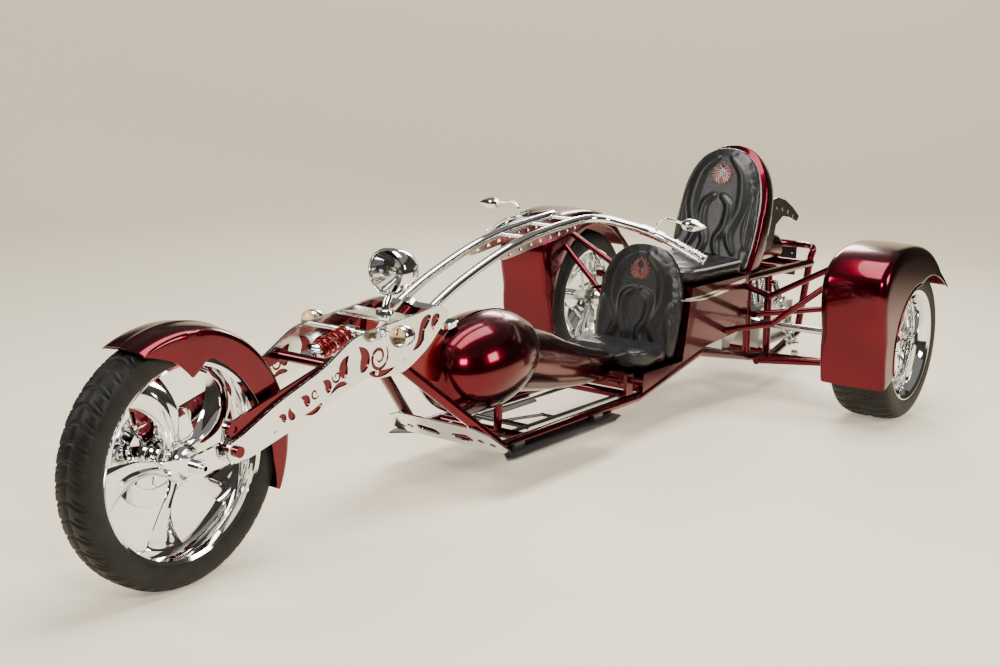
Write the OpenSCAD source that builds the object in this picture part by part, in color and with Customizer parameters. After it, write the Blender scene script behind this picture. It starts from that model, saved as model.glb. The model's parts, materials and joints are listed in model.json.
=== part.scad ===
// Motorized trike with one steered front wheel in a leading-link fork and two driven rear wheels.
// +X points forward, +Y to the rider's left and +Z up. The origin is on the ground,
// under the middle of the vehicle's outer box. Lengths are millimetres.

/* [Wheels] */
// Distance from the front axle to the rear axle
wheelbase = 3200; // [2800:10:3800]
// Distance between the middle planes of the rear tyres
rear_track = 1560; // [1480:10:1900]
// Outer radius of the front tyre
front_tyre_r = 350; // [330:1:400]
// Width of the front tyre
front_tyre_w = 124; // [116:1:130]
// Bead seat radius of the front rim
front_rim_r = 267; // [220:1:280]
// Outer radius of the rear tyres
rear_tyre_r = 321; // [300:1:345]
// Width of the rear tyres
rear_tyre_w = 250; // [200:1:256]
// Bead seat radius of the rear rims
rear_rim_r = 216; // [190:1:230]
// Diameter of the front axle
axle_d = 25; // [20:1:30]
// Bore through the front axle
axle_bore_d = 14; // [8:1:18]
// Diameter of the rear wheel spindles
spindle_d = 50; // [40:1:60]

/* [Steering] */
// Distance from the front axle back to the middle of the steering head
neck_back = 900; // [800:5:1000]
// Height of the middle of the steering head
neck_z = 570; // [540:5:640]
// Angle of the steering axis from the vertical
rake = 58.5; // [50:0.5:62]
// Length of the steering head tube
head_len = 200; // [160:5:220]
// Outer diameter of the steering head tube
head_d = 70; // [60:1:80]
// Diameter of the steering stem
stem_d = 39; // [30:1:45]
// Distance from the centre plane to the inner face of each fork plate
fork_half = 112; // [108:1:130]
// Thickness of the fork plates
fork_plate_t = 12; // [8:1:14]
// Diameter of the handlebar tubes
bar_d = 32; // [25:1:38]
// Distance from the centre plane to each long bar
bar_half = 67; // [55:1:85]
// Distance from the centre plane to the outer end of each grip
grip_end_y = 478; // [420:1:560]
// Outer diameter of the headlight
headlight_d = 150; // [120:1:180]

/* [Frame] */
// Diameter of the main frame tubes
rail_d = 38; // [32:1:42]
// Distance from the centre plane to the side rails
rail_half = 185; // [175:1:200]
// Height of the front corners of the side rails
rail_z = 155; // [140:1:180]
// Thickness of the sheet metal panels and footboards
sheet_t = 6; // [3:0.5:8]
// Length of the fuel tank
tank_len = 540; // [440:5:580]
// Radius of the fuel tank at its widest
tank_r = 172; // [140:1:180]

/* [Seats and body] */
// Width of both seats
seat_w = 390; // [320:5:400]
// Height of the top of the driver's backrest
driver_top_z = 715; // [620:5:730]
// Height of the top of the passenger's backrest
passenger_top_z = 1080; // [900:5:1200]
// Thickness of both backrests
backrest_t = 70; // [50:1:80]
// Height of the passenger's deck
deck_z = 548; // [520:1:600]
// Width of the body tub
tub_w = 420; // [400:5:460]
// Width of the rear fenders
fender_w = 284; // [270:1:320]

/* [Rear end] */
// Half shaft diameter
shaft_d = 30; // [24:1:36]
// Radius of the differential housing
diff_r = 105; // [80:1:110]
// Distance between the plate bracket's two holes
plate_holes = 146; // [100:1:160]
// Diameter of the plate bracket's holes
plate_hole_d = 6.4; // [5:0.1:9]

/* [Hidden] */

// Clearances: a resting seat and a running fit.
seat_gap = 0.3;
fit_gap = 0.05;
$fn = 48;

candy_red = "darkred";
polished = "gainsboro";
black = [0.1, 0.1, 0.1];

// The front group hangs on the neck, and the rear group on the rear axle.
front_axle_x = wheelbase / 2 + 150;
rear_axle_x = front_axle_x - wheelbase;
neck_x = front_axle_x - neck_back;
axle_z = front_tyre_r;
spindle_z = rear_tyre_r;
wheel_y = rear_track / 2;
steer_up = [-sin(rake), cos(rake)];
steer_out = [cos(rake), sin(rake)];
rail_r = rail_d / 2;

// A point in the X-Z plane given along the steering axis and square to it.
function at_neck(along, out) = [neck_x, neck_z] + along * steer_up + out * steer_out;
function at_rear(back, z) = [rear_axle_x + back, z];
function xz(p, y) = [p[0], y, p[1]];

// A round bar from a to b.
module rod(a, b, d) {
    v = b - a;
    translate(a) rotate([0, acos(v[2] / norm(v)), atan2(v[1], v[0])]) cylinder(h = norm(v), d = d);
}

// A round weld over the joint of two bars, turned with a small flat at its top and bottom.
weld_proud = 1.4;
module weld(p, d) {
    r = d / 2 + weld_proud;
    side = [for (t = [-72 : 24 : 72]) r * [cos(t), sin(t)]];
    translate(p) rotate_extrude() polygon(concat([[0, -r * sin(72)]], side, [[0, r * sin(72)]]));
}

// Bars from point to point, with a weld at each inner corner.
module bent_rod(points, d) {
    for (i = [0 : len(points) - 2]) rod(points[i], points[i + 1], d);
    for (i = [1 : 1 : len(points) - 2]) weld(points[i], d);
}

// The same piece on both sides of the centre plane.
module both_sides() {
    children();
    mirror([0, 1, 0]) children();
}

// A plate drawn in the X-Z plane, between two distances from the centre plane.
module plate_xz(y0, y1) {
    translate([0, y1, 0]) rotate([90, 0, 0]) linear_extrude(y1 - y0) children();
}

// A ring or disc turned about an axle along Y.
module turned(x, y, z) {
    translate([x, y, z]) rotate([90, 0, 0]) rotate_extrude($fn = 96) children();
}

// A flat link between two round eyes.
module link_2d(p, rp, q, rq) {
    a = atan2(q[1] - p[1], q[0] - p[0]);
    side = [-sin(a), cos(a)] * 0.97;
    translate(p) circle(rp);
    translate(q) circle(rq);
    polygon([p + side * rp, q + side * rq, q - side * rq, p - side * rp]);
}

// A smooth curve through the points, with a number of steps to each stretch.
function blend_point(a, b, c, d, t) = 0.5 * ((2 * b) + (c - a) * t + (2 * a - 5 * b + 4 * c - d) * t * t
    + (3 * b - a - 3 * c + d) * t * t * t);
function smooth(p, steps) = [for (i = [0 : len(p) - 2]) for (s = [0 : steps - 1])
    blend_point(p[max(i - 1, 0)], p[i], p[i + 1], p[min(i + 2, len(p) - 1)], s / steps), p[len(p) - 1]];
function unit(v) = v / norm(v);

// A tube swept along a route: each ring stands square to the route.
module sweep(route, d, sides = 12) {
    n = len(route);
    dirs = [for (i = [0 : n - 1]) unit(route[min(i + 1, n - 1)] - route[max(i - 1, 0)])];
    rings = [for (i = [0 : n - 1])
        let (flat = unit(cross([0, 0, 1], dirs[i])), up = cross(dirs[i], flat))
        for (k = [0 : sides - 1]) route[i] + d / 2 * (cos(360 * k / sides) * flat + sin(360 * k / sides) * up)];
    walls = [for (i = [0 : n - 2]) for (k = [0 : sides - 1])
        [i * sides + k, (i + 1) * sides + k, (i + 1) * sides + (k + 1) % sides, i * sides + (k + 1) % sides]];
    first = [for (k = [0 : sides - 1]) k];
    last = [for (k = [sides - 1 : -1 : 0]) (n - 1) * sides + k];
    polyhedron(rings, concat(walls, [first, last]), convexity = 4);
}

// ---------------------------------------------------------------- frame

corner = [neck_x - 370, rail_z];
rail_rear = at_rear(1020, rail_z + 5);
tub_low = at_rear(530, rail_z + 110);
sill = at_rear(0, rail_z + 10);
cradle = at_rear(-200, rail_z - 5);
tail_low = at_rear(-560, rail_z + 35);
upper_z = deck_z - rail_r;
rear_half = rail_half + 5;
sill_half = rail_half + 30;
tail_half = rail_half - 25;
upper_half = rail_half + 10;
post_low = sill[1] + 6;
post_x = 105;
// How far out the middle of an upright lies at a height.
function post_y(z) = sill_half - 5 + (upper_half - sill_half + 5) * (z - post_low) / (upper_z - post_low);

tank_centre = [neck_x - 489, 403];
tank_tilt = 6;
module tank_shape(extra = 0) {
    outline = [for (t = [0 : 10 : 180])
        [(tank_r + extra) * pow(max(sin(t), 0), 0.8) * (1 + 0.08 * cos(t)), (tank_len / 2 + extra) * cos(t)]];
    translate(xz(tank_centre, 0)) rotate([0, 90 - tank_tilt, 0]) rotate_extrude($fn = 72) polygon(outline);
}

head_bar_d = 50;
head_bar_at = at_neck(-68, -57);
module head_frame(d) {
    both_sides() bent_rod([xz(head_bar_at, 45), xz(corner, rail_half), xz(rail_rear, rail_half)], d);
    rod(xz(head_bar_at, -45), xz(head_bar_at, 45), head_bar_d);
}

module front_frame() {
    saddle_x = tank_centre[0] - 20;
    color(candy_red) difference() {
        union() {
            translate(xz(at_neck(0, 0), 0)) rotate([0, -rake, 0]) cylinder(h = head_len, d = head_d, center = true);
            head_frame(rail_d);
            for (p = [corner, [saddle_x, rail_z + 1.5], rail_rear])
                rod(xz(p, -rail_half), xz(p, rail_half), rail_d - 3);
            both_sides() rod([saddle_x, 70, rail_z], [saddle_x, 70, tank_centre[1]], 30);
        }
        translate(xz(at_neck(0, 0), 0)) rotate([0, -rake, 0])
            cylinder(h = head_len + 20, d = stem_d + 2 * fit_gap, center = true);
        tank_shape(seat_gap);
        translate([rear_axle_x, 0, 0]) cube([2 * 1019.7, 1000, 1000], center = true);
    }
}

module rear_frame() {
    color(candy_red) difference() {
        union() {
            both_sides() {
                bent_rod([xz(rail_rear, rail_half), xz(tub_low, rear_half), xz(sill, sill_half),
                    xz(cradle, sill_half - 10), xz(tail_low, tail_half)], rail_d);
                for (x = [post_x, -post_x])
                    rod(xz(at_rear(x, post_low), post_y(post_low)), xz(at_rear(x, upper_z), post_y(upper_z)), rail_d - 4);
                rod(xz(tail_low, tail_half), xz([tail_low[0], upper_z], upper_half), rail_d - 4);
                rod(xz(at_rear(129.5, upper_z), upper_half), xz([tail_low[0] - 12, upper_z], upper_half), rail_d);
            }
            for (p = [sill, cradle]) rod(xz(p, -sill_half + 5), xz(p, sill_half - 5), rail_d - 4);
            rod(xz(tail_low, -tail_half - 9), xz(tail_low, tail_half + 9), rail_d - 4);
            for (x = [-105, -240, -500]) rod(xz(at_rear(x, upper_z), -upper_half), xz(at_rear(x, upper_z), upper_half), rail_d - 0.8);
        }
        translate([rear_axle_x + 1020 - 0.3 + 500, 0, 0]) cube([1000, 1000, 1000], center = true);
    }
}

module neck_cover() {
    outline = [at_neck(-84, -head_d / 2 - 1), at_neck(90, -head_d / 2 - 1), [tank_centre[0] + 240, tank_centre[1] + 120],
        [tank_centre[0] + 200, tank_centre[1]], [tank_centre[0] + 230, tank_centre[1] - 40], at_neck(-60, -115)];
    color("firebrick") difference() {
        plate_xz(-24, 24) polygon(outline);
        tank_shape(seat_gap);
        rod(xz(head_bar_at, -45), xz(head_bar_at, 45), head_bar_d + 2 * seat_gap);
    }
}

// The plate lies against the underside of the two down tubes, with lightening holes along it.
module skid_plate() {
    rise = head_bar_at - corner;
    slope = atan2(rise[1], rise[0]);
    half = rail_half + 63;
    color(polished) translate(xz(corner, 0)) rotate([0, -slope, 0])
        translate([8, 0, -rail_r - seat_gap - sheet_t]) linear_extrude(sheet_t) difference() {
            polygon([[0, -half + 12], [0, half - 12], [30, half], [110, half - 34], [150, half - 96],
                [150, -half + 96], [110, -half + 34], [30, -half]]);
            for (s = [-1, 1]) {
                link_2d([56, s * 52], 24, [64, s * 92], 24);
                translate([60, s * 150]) circle(13);
                translate([50, s * 190]) circle(13);
            }
        }
}

// Footboards hang outside and under the side rails.
module floorboard() {
    front = corner[0] + 60;
    rear = rail_rear[0] + 190;
    top = rail_z - rail_r - seat_gap;
    translate([0, 0, top - sheet_t]) linear_extrude(sheet_t)
        polygon([[front, rail_half + 66], [front - 40, rail_half + 78], [rear + 90, rail_half + 72], [rear + 8, rail_half + 48],
            [rear, rail_half - 10], [rear + 40, rail_half - 60], [front - 120, rail_half - 70], [front - 78, rail_half - 10]]);
    for (x = [front - 150, rear + 120])
        translate([x, rail_half + rail_r + seat_gap, top]) cube([60, 14, 26]);
}
module left_floorboard() color(black) floorboard();
module right_floorboard() color(black) mirror([0, 1, 0]) floorboard();

module fuel_tank() color(candy_red) tank_shape();

module fuel_cap() {
    color(polished) difference() {
        translate(xz(tank_centre + [178, 120], 0)) rotate([0, 12, 0]) union() {
            cylinder(h = 38, d = 60);
            translate([0, 0, 38]) cylinder(h = 5, d1 = 60, d2 = 48);
        }
        tank_shape(seat_gap);
    }
}

// A tapering spine that carries the back of the tank and meets the driver's seat.
module body_spine() {
    end_x = rear_axle_x + tub_front + seat_gap;
    color(candy_red) difference() {
        hull() {
            translate([tank_centre[0] - 120, 0, tank_centre[1] - 10]) rotate([0, 90, 0]) cylinder(r = 132, h = 20, $fn = 48);
            translate([tank_centre[0] - 400, 0, 312]) rotate([0, 90, 0]) cylinder(r = 88, h = 20, $fn = 48);
            translate([end_x, -82, rail_z + 55]) cube([6, 164, 100]);
            translate([end_x, -60, rail_z + 145]) cube([6, 120, 20]);
        }
        tank_shape(seat_gap);
    }
}

// A cross shaft on two cheeks, with a foot peg at each side.
module foot_controls() {
    x = rail_rear[0] + 60;
    z = rail_z + 82;
    floor_z = rail_z + 5 + rail_r + 0.2;
    color(candy_red) difference() {
        union() {
            both_sides() {
                translate([x - 28, rail_half - 12, floor_z - 3]) cube([56, 14, z - floor_z + 26]);
                rod([x, rail_half, z], [x, rail_half + 62, z], 26);
            }
            rod([x, 100, z], [x, rail_half, z], 50);
            rod([x, -100, z], [x, -rail_half, z], 50);
        }
        head_frame(rail_d + 2 * seat_gap);
    }
}

// Black rods under the tank from the front cross tube to the middle one.
module brake_linkage() {
    x_front = corner[0] - (rail_d - 3) / 2 - seat_gap;
    x_rear = rail_rear[0] + (rail_d - 3) / 2 + seat_gap;
    saddle_x = tank_centre[0] - 20;
    color(black) difference() {
        union() {
            both_sides() rod([x_front, 110, rail_z + 3], [x_rear, 110, rail_z + 3], 14);
            rod([saddle_x - 120, -116, rail_z + 3], [saddle_x - 120, 116, rail_z + 3], 20);
            rod([saddle_x - 120, 0, rail_z + 3], [saddle_x - 306, 62, rail_z + 3], 12);
            rod([saddle_x - 300, 52, rail_z + 3], [saddle_x - 300, 108, rail_z + 3], 12);
        }
        rod([saddle_x, -rail_half, rail_z + 1.5], [saddle_x, rail_half, rail_z + 1.5], rail_d - 3 + 2 * seat_gap);
    }
}

// ---------------------------------------------------------------- seats and body

tub_front = 1020;
driver_deck_z = 255;
cushion_t = 88;
driver_wall = [705, 655];

// A cushion with rounded edges, flat underneath.
module cushion(x0, x1, z, t, w) {
    r = 26;
    hull() for (x = [x0 + r, x1 - r]) for (s = [-1, 1]) {
        translate([x, s * (w / 2 - r), z]) cylinder(r = r, h = t - r, $fn = 32);
        translate([x, s * (w / 2 - r), z + t - r]) sphere(r = r, $fn = 32);
    }
}

// The outline of a backrest: height up the back, and half its width there.
function back_outline(h, w) = let (side = concat([[-90, w * 0.45], [0, w * 0.46], [h * 0.16, w * 0.49],
    [h * 0.34, w * 0.5]], [for (t = [0 : 7.5 : 82.5]) [h * (0.5 + 0.5 * sin(t)), w * 0.49 * pow(cos(t), 0.62)]], [[h, w * 0.07]]))
    concat(side, [for (i = [len(side) - 1 : -1 : 0]) [side[i][0], -side[i][1]]]);

// A slab of that outline: its front face passes through x0 at height z0 and leans back.
module leaning(x0, z0, lean) {
    translate([x0, 0, z0]) rotate([0, -lean, 0]) rotate([0, -90, 0]) children();
}
module above(z) {
    difference() {
        children();
        translate([-3000, -1000, z - 1000]) cube([6000, 2000, 1000]);
    }
}
module backrest(x0, z0, z1, w, t, lean) {
    above(z0) leaning(x0, z0, lean) linear_extrude(t) polygon(back_outline((z1 - z0) / cos(lean), w));
}

driver_lean = atan((driver_wall[0] - driver_wall[1]) / (deck_z - driver_deck_z));
driver_front = driver_wall[0] + (backrest_t + seat_gap) / cos(driver_lean);
module driver_cushion() {
    color(black) cushion(rear_axle_x + driver_front + 0.6, rear_axle_x + tub_front, driver_deck_z + seat_gap, cushion_t, seat_w);
}
module driver_backrest() {
    color(black) backrest(rear_axle_x + driver_front, driver_deck_z + seat_gap, driver_top_z, seat_w, backrest_t, driver_lean);
}

passenger_front = 636;
passenger_x = 150;
passenger_lean = 17;
module passenger_cushion() {
    color(black) cushion(rear_axle_x + passenger_x + 0.6, rear_axle_x + passenger_front, deck_z + seat_gap, 78, seat_w);
}
module passenger_backrest() {
    color(black) backrest(rear_axle_x + passenger_x, deck_z + seat_gap, passenger_top_z, seat_w, backrest_t, passenger_lean);
}

// The glossy shell is a rounded hump behind the passenger's backrest.
module seat_shell() {
    z = deck_z + seat_gap;
    x0 = rear_axle_x + passenger_x - (backrest_t + seat_gap) / cos(passenger_lean);
    h = (passenger_top_z - z) / cos(passenger_lean) + 4;
    color(candy_red) above(z) leaning(x0, z, passenger_lean) hull() {
        linear_extrude(50) polygon(back_outline(h, seat_w + 16));
        translate([0, 0, 50]) linear_extrude(52) polygon(back_outline(h - 24, seat_w - 24));
        translate([0, 0, 102]) linear_extrude(44) polygon(back_outline(h - 100, seat_w - 110));
    }
}

module body_tub() {
    drop = rail_r + weld_proud + seat_gap;
    color(candy_red) plate_xz(-tub_w / 2, tub_w / 2) polygon([
        at_rear(tub_front, rail_rear[1] + drop), at_rear(tub_front, driver_deck_z), at_rear(driver_wall[0], driver_deck_z),
        at_rear(driver_wall[1], deck_z), at_rear(130, deck_z), at_rear(130, tub_low[1] + 50), at_rear(530, tub_low[1] + drop)]);
}

// ---------------------------------------------------------------- engine

block_low = cradle[1] + (rail_d - 4) / 2 + seat_gap;
block_top = 352;
engine_x = rear_axle_x - 350;
vee = 22.5;

module engine_block() {
    color("silver") translate([engine_x - 180, -140, block_low]) cube([355, 280, block_top - block_low]);
}

// Two finned cylinders in a vee, with the intake between them.
module engine_cylinders() {
    crank_z = 285;
    head_z = 232;
    color(polished) difference() {
        union() {
            for (s = [-1, 1]) translate([engine_x, 0, crank_z]) rotate([0, s * vee, 0]) {
                cylinder(h = head_z, d = 104);
                for (k = [0 : 8]) translate([0, 0, 80 + k * 14]) cylinder(h = 5, d = 136);
                translate([0, 0, head_z - 34]) cylinder(h = 34, d = 126);
            }
            rod([engine_x, 0, 480], [engine_x, 111.7, 480], 44);
            for (s = [-1, 1]) rod([engine_x + s * 78, 0, 470], [engine_x + s * 78, -84, 470], 46);
        }
        translate([engine_x - 400, -400, 0]) cube([800, 800, block_top + seat_gap]);
    }
}

module air_cleaner() {
    r = 100;
    color(polished) difference() {
        translate([engine_x - 20, 112, 480]) rotate([-90, 0, 0]) union() {
            cylinder(h = 34, r = r);
            translate([0, 0, 34]) cylinder(h = 18, r1 = r, r2 = r * 0.72);
        }
        for (k = [0 : 15]) translate([engine_x - 20, 0, 480]) rotate([0, k * 22.5, 0]) translate([34, 158, -3]) cube([58, 20, 6]);
    }
}

module exhaust_pipes() {
    muffler_y = -(upper_half + rail_r + 46);
    color(polished) for (s = [-1, 1]) {
        start = [engine_x + s * 78, -84.3, 470];
        z = 330 + s * 45;
        sweep(concat([start], smooth([start + [0, -14, 0], start + [0, -40, -6], start + [-40, -80, -50], [engine_x - 60, muffler_y, z], [engine_x - 130, muffler_y, z]], 6)), 42);
        rod([engine_x - 130.2, muffler_y, z], [engine_x - 290, muffler_y, z], 72);
    }
}

// ---------------------------------------------------------------- tail

cowl_half = 105;
cowl_front = -198;
module tail_cowl() {
    z = deck_z + seat_gap;
    color(candy_red) plate_xz(-cowl_half, cowl_half) polygon([at_rear(cowl_front, z), at_rear(cowl_front, z + 130),
        at_rear(-330, z + 150), at_rear(-450, z + 120), at_rear(-520, z + 62), at_rear(-530, z)]);
}

// Arched side plates with round lightening holes stand on both sides of the cowl.
module rack_rails() {
    z = deck_z;
    top = [[-210, 225], [-255, 285], [-330, 296], [-420, 278], [-510, 238], [-590, 190]];
    low = [[-560, 168], [-470, 195], [-400, 205], [-330, 170], [-300, 60], [-215, 60]];
    color(polished) both_sides() plate_xz(cowl_half + seat_gap, cowl_half + seat_gap + 8) difference() {
        polygon([for (p = concat(top, low)) at_rear(p[0], z + p[1])]);
        for (k = [0 : 4]) translate(at_rear(-270 - k * 62, z + 252 - k * k * 3.6)) circle(11);
    }
}

hoop_d = 32;
hoop_z = deck_z + 52;
hoop_back = -634;
function hoop_side(s) = [xz(at_rear(-558, upper_z - 3), s * upper_half), xz(at_rear(-562, upper_z + 30), s * (upper_half + 4)),
    xz(at_rear(-582, hoop_z), s * upper_half), xz(at_rear(hoop_back, hoop_z), s * 96)];
module tail_hoop() {
    top_z = upper_z + rail_r + seat_gap;
    color(candy_red) difference() {
        sweep(smooth(concat(hoop_side(1), [for (i = [3 : -1 : 0]) hoop_side(-1)[i]]), 4), hoop_d, 14);
        both_sides() rod(xz(at_rear(0, upper_z), upper_half), xz(at_rear(-620, upper_z), upper_half), rail_d + 2 * seat_gap);
        translate([rear_axle_x - 700, -400, top_z - 60]) cube([400, 800, 42]);
    }
}

module plate_bracket() {
    low = hoop_z - 150;
    top = hoop_z - hoop_d / 2 - seat_gap;
    color(black) difference() {
        translate([rear_axle_x + hoop_back - 3, -95, low]) cube([6, 190, top - low]);
        for (s = [-1, 1]) translate([rear_axle_x + hoop_back, s * plate_holes / 2, top - 30]) rotate([0, 90, 0])
            cylinder(h = 20, d = plate_hole_d, center = true);
    }
}

// ---------------------------------------------------------------- rear axle

diff_half = 150;
knuckle_y = wheel_y - 162;
module differential() {
    foot = sill[1] + (rail_d - 4) / 2 + seat_gap;
    color(polished) union() {
        rod([rear_axle_x, -80, spindle_z], [rear_axle_x, 80, spindle_z], 2 * diff_r);
        rod([rear_axle_x, -diff_half, spindle_z], [rear_axle_x, diff_half, spindle_z], 96);
        rod([rear_axle_x, 0, spindle_z], [rear_axle_x - 150, 0, spindle_z], 90);
        translate([rear_axle_x - 40, -60, foot]) cube([80, 120, spindle_z - foot]);
    }
}

module half_shafts() {
    a = diff_half + seat_gap;
    b = knuckle_y - seat_gap;
    color(polished) both_sides() {
        rod([rear_axle_x, a, spindle_z], [rear_axle_x, b, spindle_z], shaft_d);
        translate([rear_axle_x, a, spindle_z]) rotate([-90, 0, 0]) cylinder(h = 70, d1 = 84, d2 = 40);
        translate([rear_axle_x, b - 60, spindle_z]) rotate([-90, 0, 0]) cylinder(h = 60, d1 = 40, d2 = 84);
    }
}

arm_d = 30;
arm_eye = 31;
arm_base = 60;
arm_in_y = sill_half + rail_r + arm_eye / 2 + 0.4;
arm_out_y = knuckle_y - 14;
arm_low_z = rail_z + 10;
arm_out_z = spindle_z - 125;
arm_top_z = spindle_z + 120;
// A bar along the vehicle, centred on a point.
module eye(p, d, len) {
    rod(p - [len / 2, 0, 0], p + [len / 2, 0, 0], d);
}

// A wide lower arm and a single upper arm on each side.
module control_arms() {
    upper_in_z = spindle_z + 55;
    post_face = post_y(upper_in_z - 10) + (rail_d - 4) / 2 + seat_gap;
    upper_in = [rear_axle_x + post_x, post_face + 9 + arm_eye / 2, upper_in_z];
    color(candy_red) both_sides() {
        for (s = [-1, 1]) {
            rod([rear_axle_x + s * arm_base, arm_in_y, arm_low_z], [rear_axle_x, arm_out_y, arm_out_z], arm_d);
            eye([rear_axle_x + s * arm_base, arm_in_y, arm_low_z], arm_eye, 48);
        }
        rod([rear_axle_x, arm_out_y - 5, arm_out_z], [rear_axle_x, knuckle_y - seat_gap, arm_out_z], 36);
        rod(upper_in, [rear_axle_x, arm_out_y, arm_top_z], 26);
        eye(upper_in, arm_eye, 48);
        rod([upper_in[0], post_face, upper_in_z], upper_in, 20);
        rod([rear_axle_x, arm_out_y - 5, arm_top_z], [rear_axle_x, knuckle_y - seat_gap, arm_top_z], 34);
    }
}

spindle_end = wheel_y + 62;
module rear_knuckles() {
    color(polished) both_sides() {
        translate([rear_axle_x - 24, knuckle_y, spindle_z - 150]) cube([48, 26, 295]);
        rod([rear_axle_x, knuckle_y, spindle_z], [rear_axle_x, knuckle_y + 40, spindle_z], 120);
        rod([rear_axle_x, knuckle_y, spindle_z], [rear_axle_x, spindle_end, spindle_z], spindle_d);
    }
}

// The shocks stand on the rear legs of the lower arms and lean in to the rear uprights.
module rear_shocks() {
    share = 0.37;
    shock_eye = 26;
    tilt = atan2(arm_out_z - arm_low_z, arm_out_y - arm_in_y);
    foot = [rear_axle_x - arm_base * (1 - share), arm_in_y + share * (arm_out_y - arm_in_y),
        arm_low_z + share * (arm_out_z - arm_low_z)];
    low = foot + (arm_d / 2 + shock_eye / 2 + seat_gap) * [0, -sin(tilt), cos(tilt)];
    high_z = deck_z - 60;
    post_face = post_y(high_z - shock_eye / 2) + (rail_d - 4) / 2 + seat_gap;
    high = [rear_axle_x - post_x, post_face + 12, high_z];
    along = unit(high - low);
    color(polished) both_sides() {
        rod(low, high, 18);
        rod(low + along * 40, high - along * 60, 58);
        eye(low, shock_eye, 28);
        rod([high[0], post_face, high_z], high + [0, 14, 0], shock_eye);
    }
}

// ---------------------------------------------------------------- rear fenders

fender_in = wheel_y - 135;
fender_out = fender_in + fender_w;
// The crown of the fender over the tyre: forward distance and height from the spindle.
crown = [[345, -136], [385, 54], [420, 224], [420, 279], [392, 339], [332, 384], [242, 412], [118, 424], [0, 417],
    [-110, 391], [-205, 344], [-275, 284], [-330, 219]];
fender_t = 6;
fender_grow = rear_tyre_r - 321;
function grown(p, by) = p * (1 + by / norm(p));
function arc(r, a0, a1, n) = [for (i = [0 : n]) let (a = a0 + (a1 - a0) * i / n) [r * cos(a), r * sin(a)]];

module fender() {
    outer = [for (p = crown) grown(p, fender_grow)];
    inner = [for (i = [len(crown) - 1 : -1 : 0]) grown(crown[i], fender_grow - fender_t)];
    open_r = rear_rim_r + 42;
    outer_skirt = concat(outer, [[-330, 219] * (1 + (fender_grow - 20) / 396)], arc(open_r, 92, -28, 16));
    inner_skirt = concat(outer, arc(rear_tyre_r + 26, 144, -22, 16));
    translate([rear_axle_x, 0, spindle_z]) {
        plate_xz(fender_in, fender_out) polygon(concat(outer, inner));
        plate_xz(fender_out - fender_t, fender_out) polygon(outer_skirt);
        plate_xz(fender_in, fender_in + fender_t) polygon(inner_skirt);
    }
}
module left_fender() color(candy_red) fender();
module right_fender() color(candy_red) mirror([0, 1, 0]) fender();

strut_d = 26;
module fender_struts() {
    y_end = fender_in + 1;
    color(candy_red) difference() {
        both_sides() {
            bent_rod([xz(at_rear(160, 500), tub_w / 2), xz(at_rear(190, 478), tub_w / 2 + 130), xz(at_rear(226, 650), y_end)], strut_d);
            bent_rod([xz(at_rear(330, 330), tub_w / 2), xz(at_rear(290, 380), tub_w / 2 + 190), xz(at_rear(262, 590), y_end)], strut_d);
        }
        translate([rear_axle_x, 0, 0]) cube([2000, tub_w + 2 * seat_gap, 2000], center = true);
        both_sides() translate([rear_axle_x - 1000, fender_in - seat_gap, 0]) cube([2000, 100, 2000]);
    }
}

// ---------------------------------------------------------------- fork

pivot = [front_axle_x - 114, axle_z + 23];
upper_eye = pivot + [-4, 57];
plate_out = fork_half + fork_plate_t;
rocker_in = 86;
rocker_t = 12;
arm_in = rocker_in + rocker_t + 1;
arm_t = fork_half - arm_in - 1;
shock_rear = at_neck(0, 0) + [185, 30];
cross_point = pivot + [-391, 170];

module fork_outline() {
    near = [[0, 32], [-60, 58], [-155, 103], [-256, 140], [-349, 176]];
    top = [[330, 36], [262, 52], [187, 60], [59, 74], [-65, 89], [-113, 84], [-138, 68], [-134, 44]];
    low = [[-95, 18], [-40, -30], [20, -66], [80, -92], [135, -96], [278, -89]];
    under = [[-256, 30], [-120, -8], [-45, -28]];
    polygon(concat([for (p = near) pivot + p], [for (p = top) [neck_x, neck_z] + p],
        [for (p = low) [neck_x, neck_z] + p], [for (p = under) pivot + p], [pivot + [0, -32]]));
    translate(pivot) circle(32.5);
}

bolt_d = 18;
module fork_plates() {
    color(polished) both_sides() plate_xz(fork_half, plate_out) difference() {
        fork_outline();
        translate(pivot) circle(d = bolt_d + 2 * fit_gap);
        translate(shock_rear) circle(d = bolt_d + 2 * fit_gap);
        for (k = [0 : 2]) translate(pivot + [-150 - k * 62, 58 + k * 26]) circle(10);
        for (k = [0 : 1]) translate([neck_x, neck_z] + [-92 + k * 42, 52]) circle(11);
    }
}

clamp_t = 25;
clamp_at = head_len / 2 + 2 + clamp_t / 2;
module fork_clamps() {
    side = fork_half - seat_gap;
    bridge_z = neck_z + 62;
    color(polished) union() {
        translate(xz(at_neck(0, 0), 0)) rotate([0, -rake, 0]) {
            cylinder(h = 2 * clamp_at + clamp_t + 6, d = stem_d, center = true);
            for (s = [-1, 1]) translate([0, 0, s * clamp_at]) {
                cylinder(h = clamp_t, d = 84, center = true);
                cube([54, 2 * side, clamp_t], center = true);
            }
        }
    }
    color(candy_red) translate([neck_x + 10, -side, bridge_z - 6]) cube([100, 2 * side, 12]);
}

module fork_rockers() {
    axle = [front_axle_x, axle_z];
    color(polished) both_sides() plate_xz(rocker_in, rocker_in + rocker_t) difference() {
        union() {
            link_2d(axle, 34, pivot, 30);
            link_2d(pivot, 30, upper_eye, 25);
            link_2d(axle, 26, axle + [112, 30], 9);
        }
        translate(axle) circle(d = axle_d + 2 * fit_gap);
        translate(pivot) circle(d = bolt_d + 2 * fit_gap);
        translate(upper_eye) circle(d = bolt_d + 2 * fit_gap);
    }
}

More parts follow.
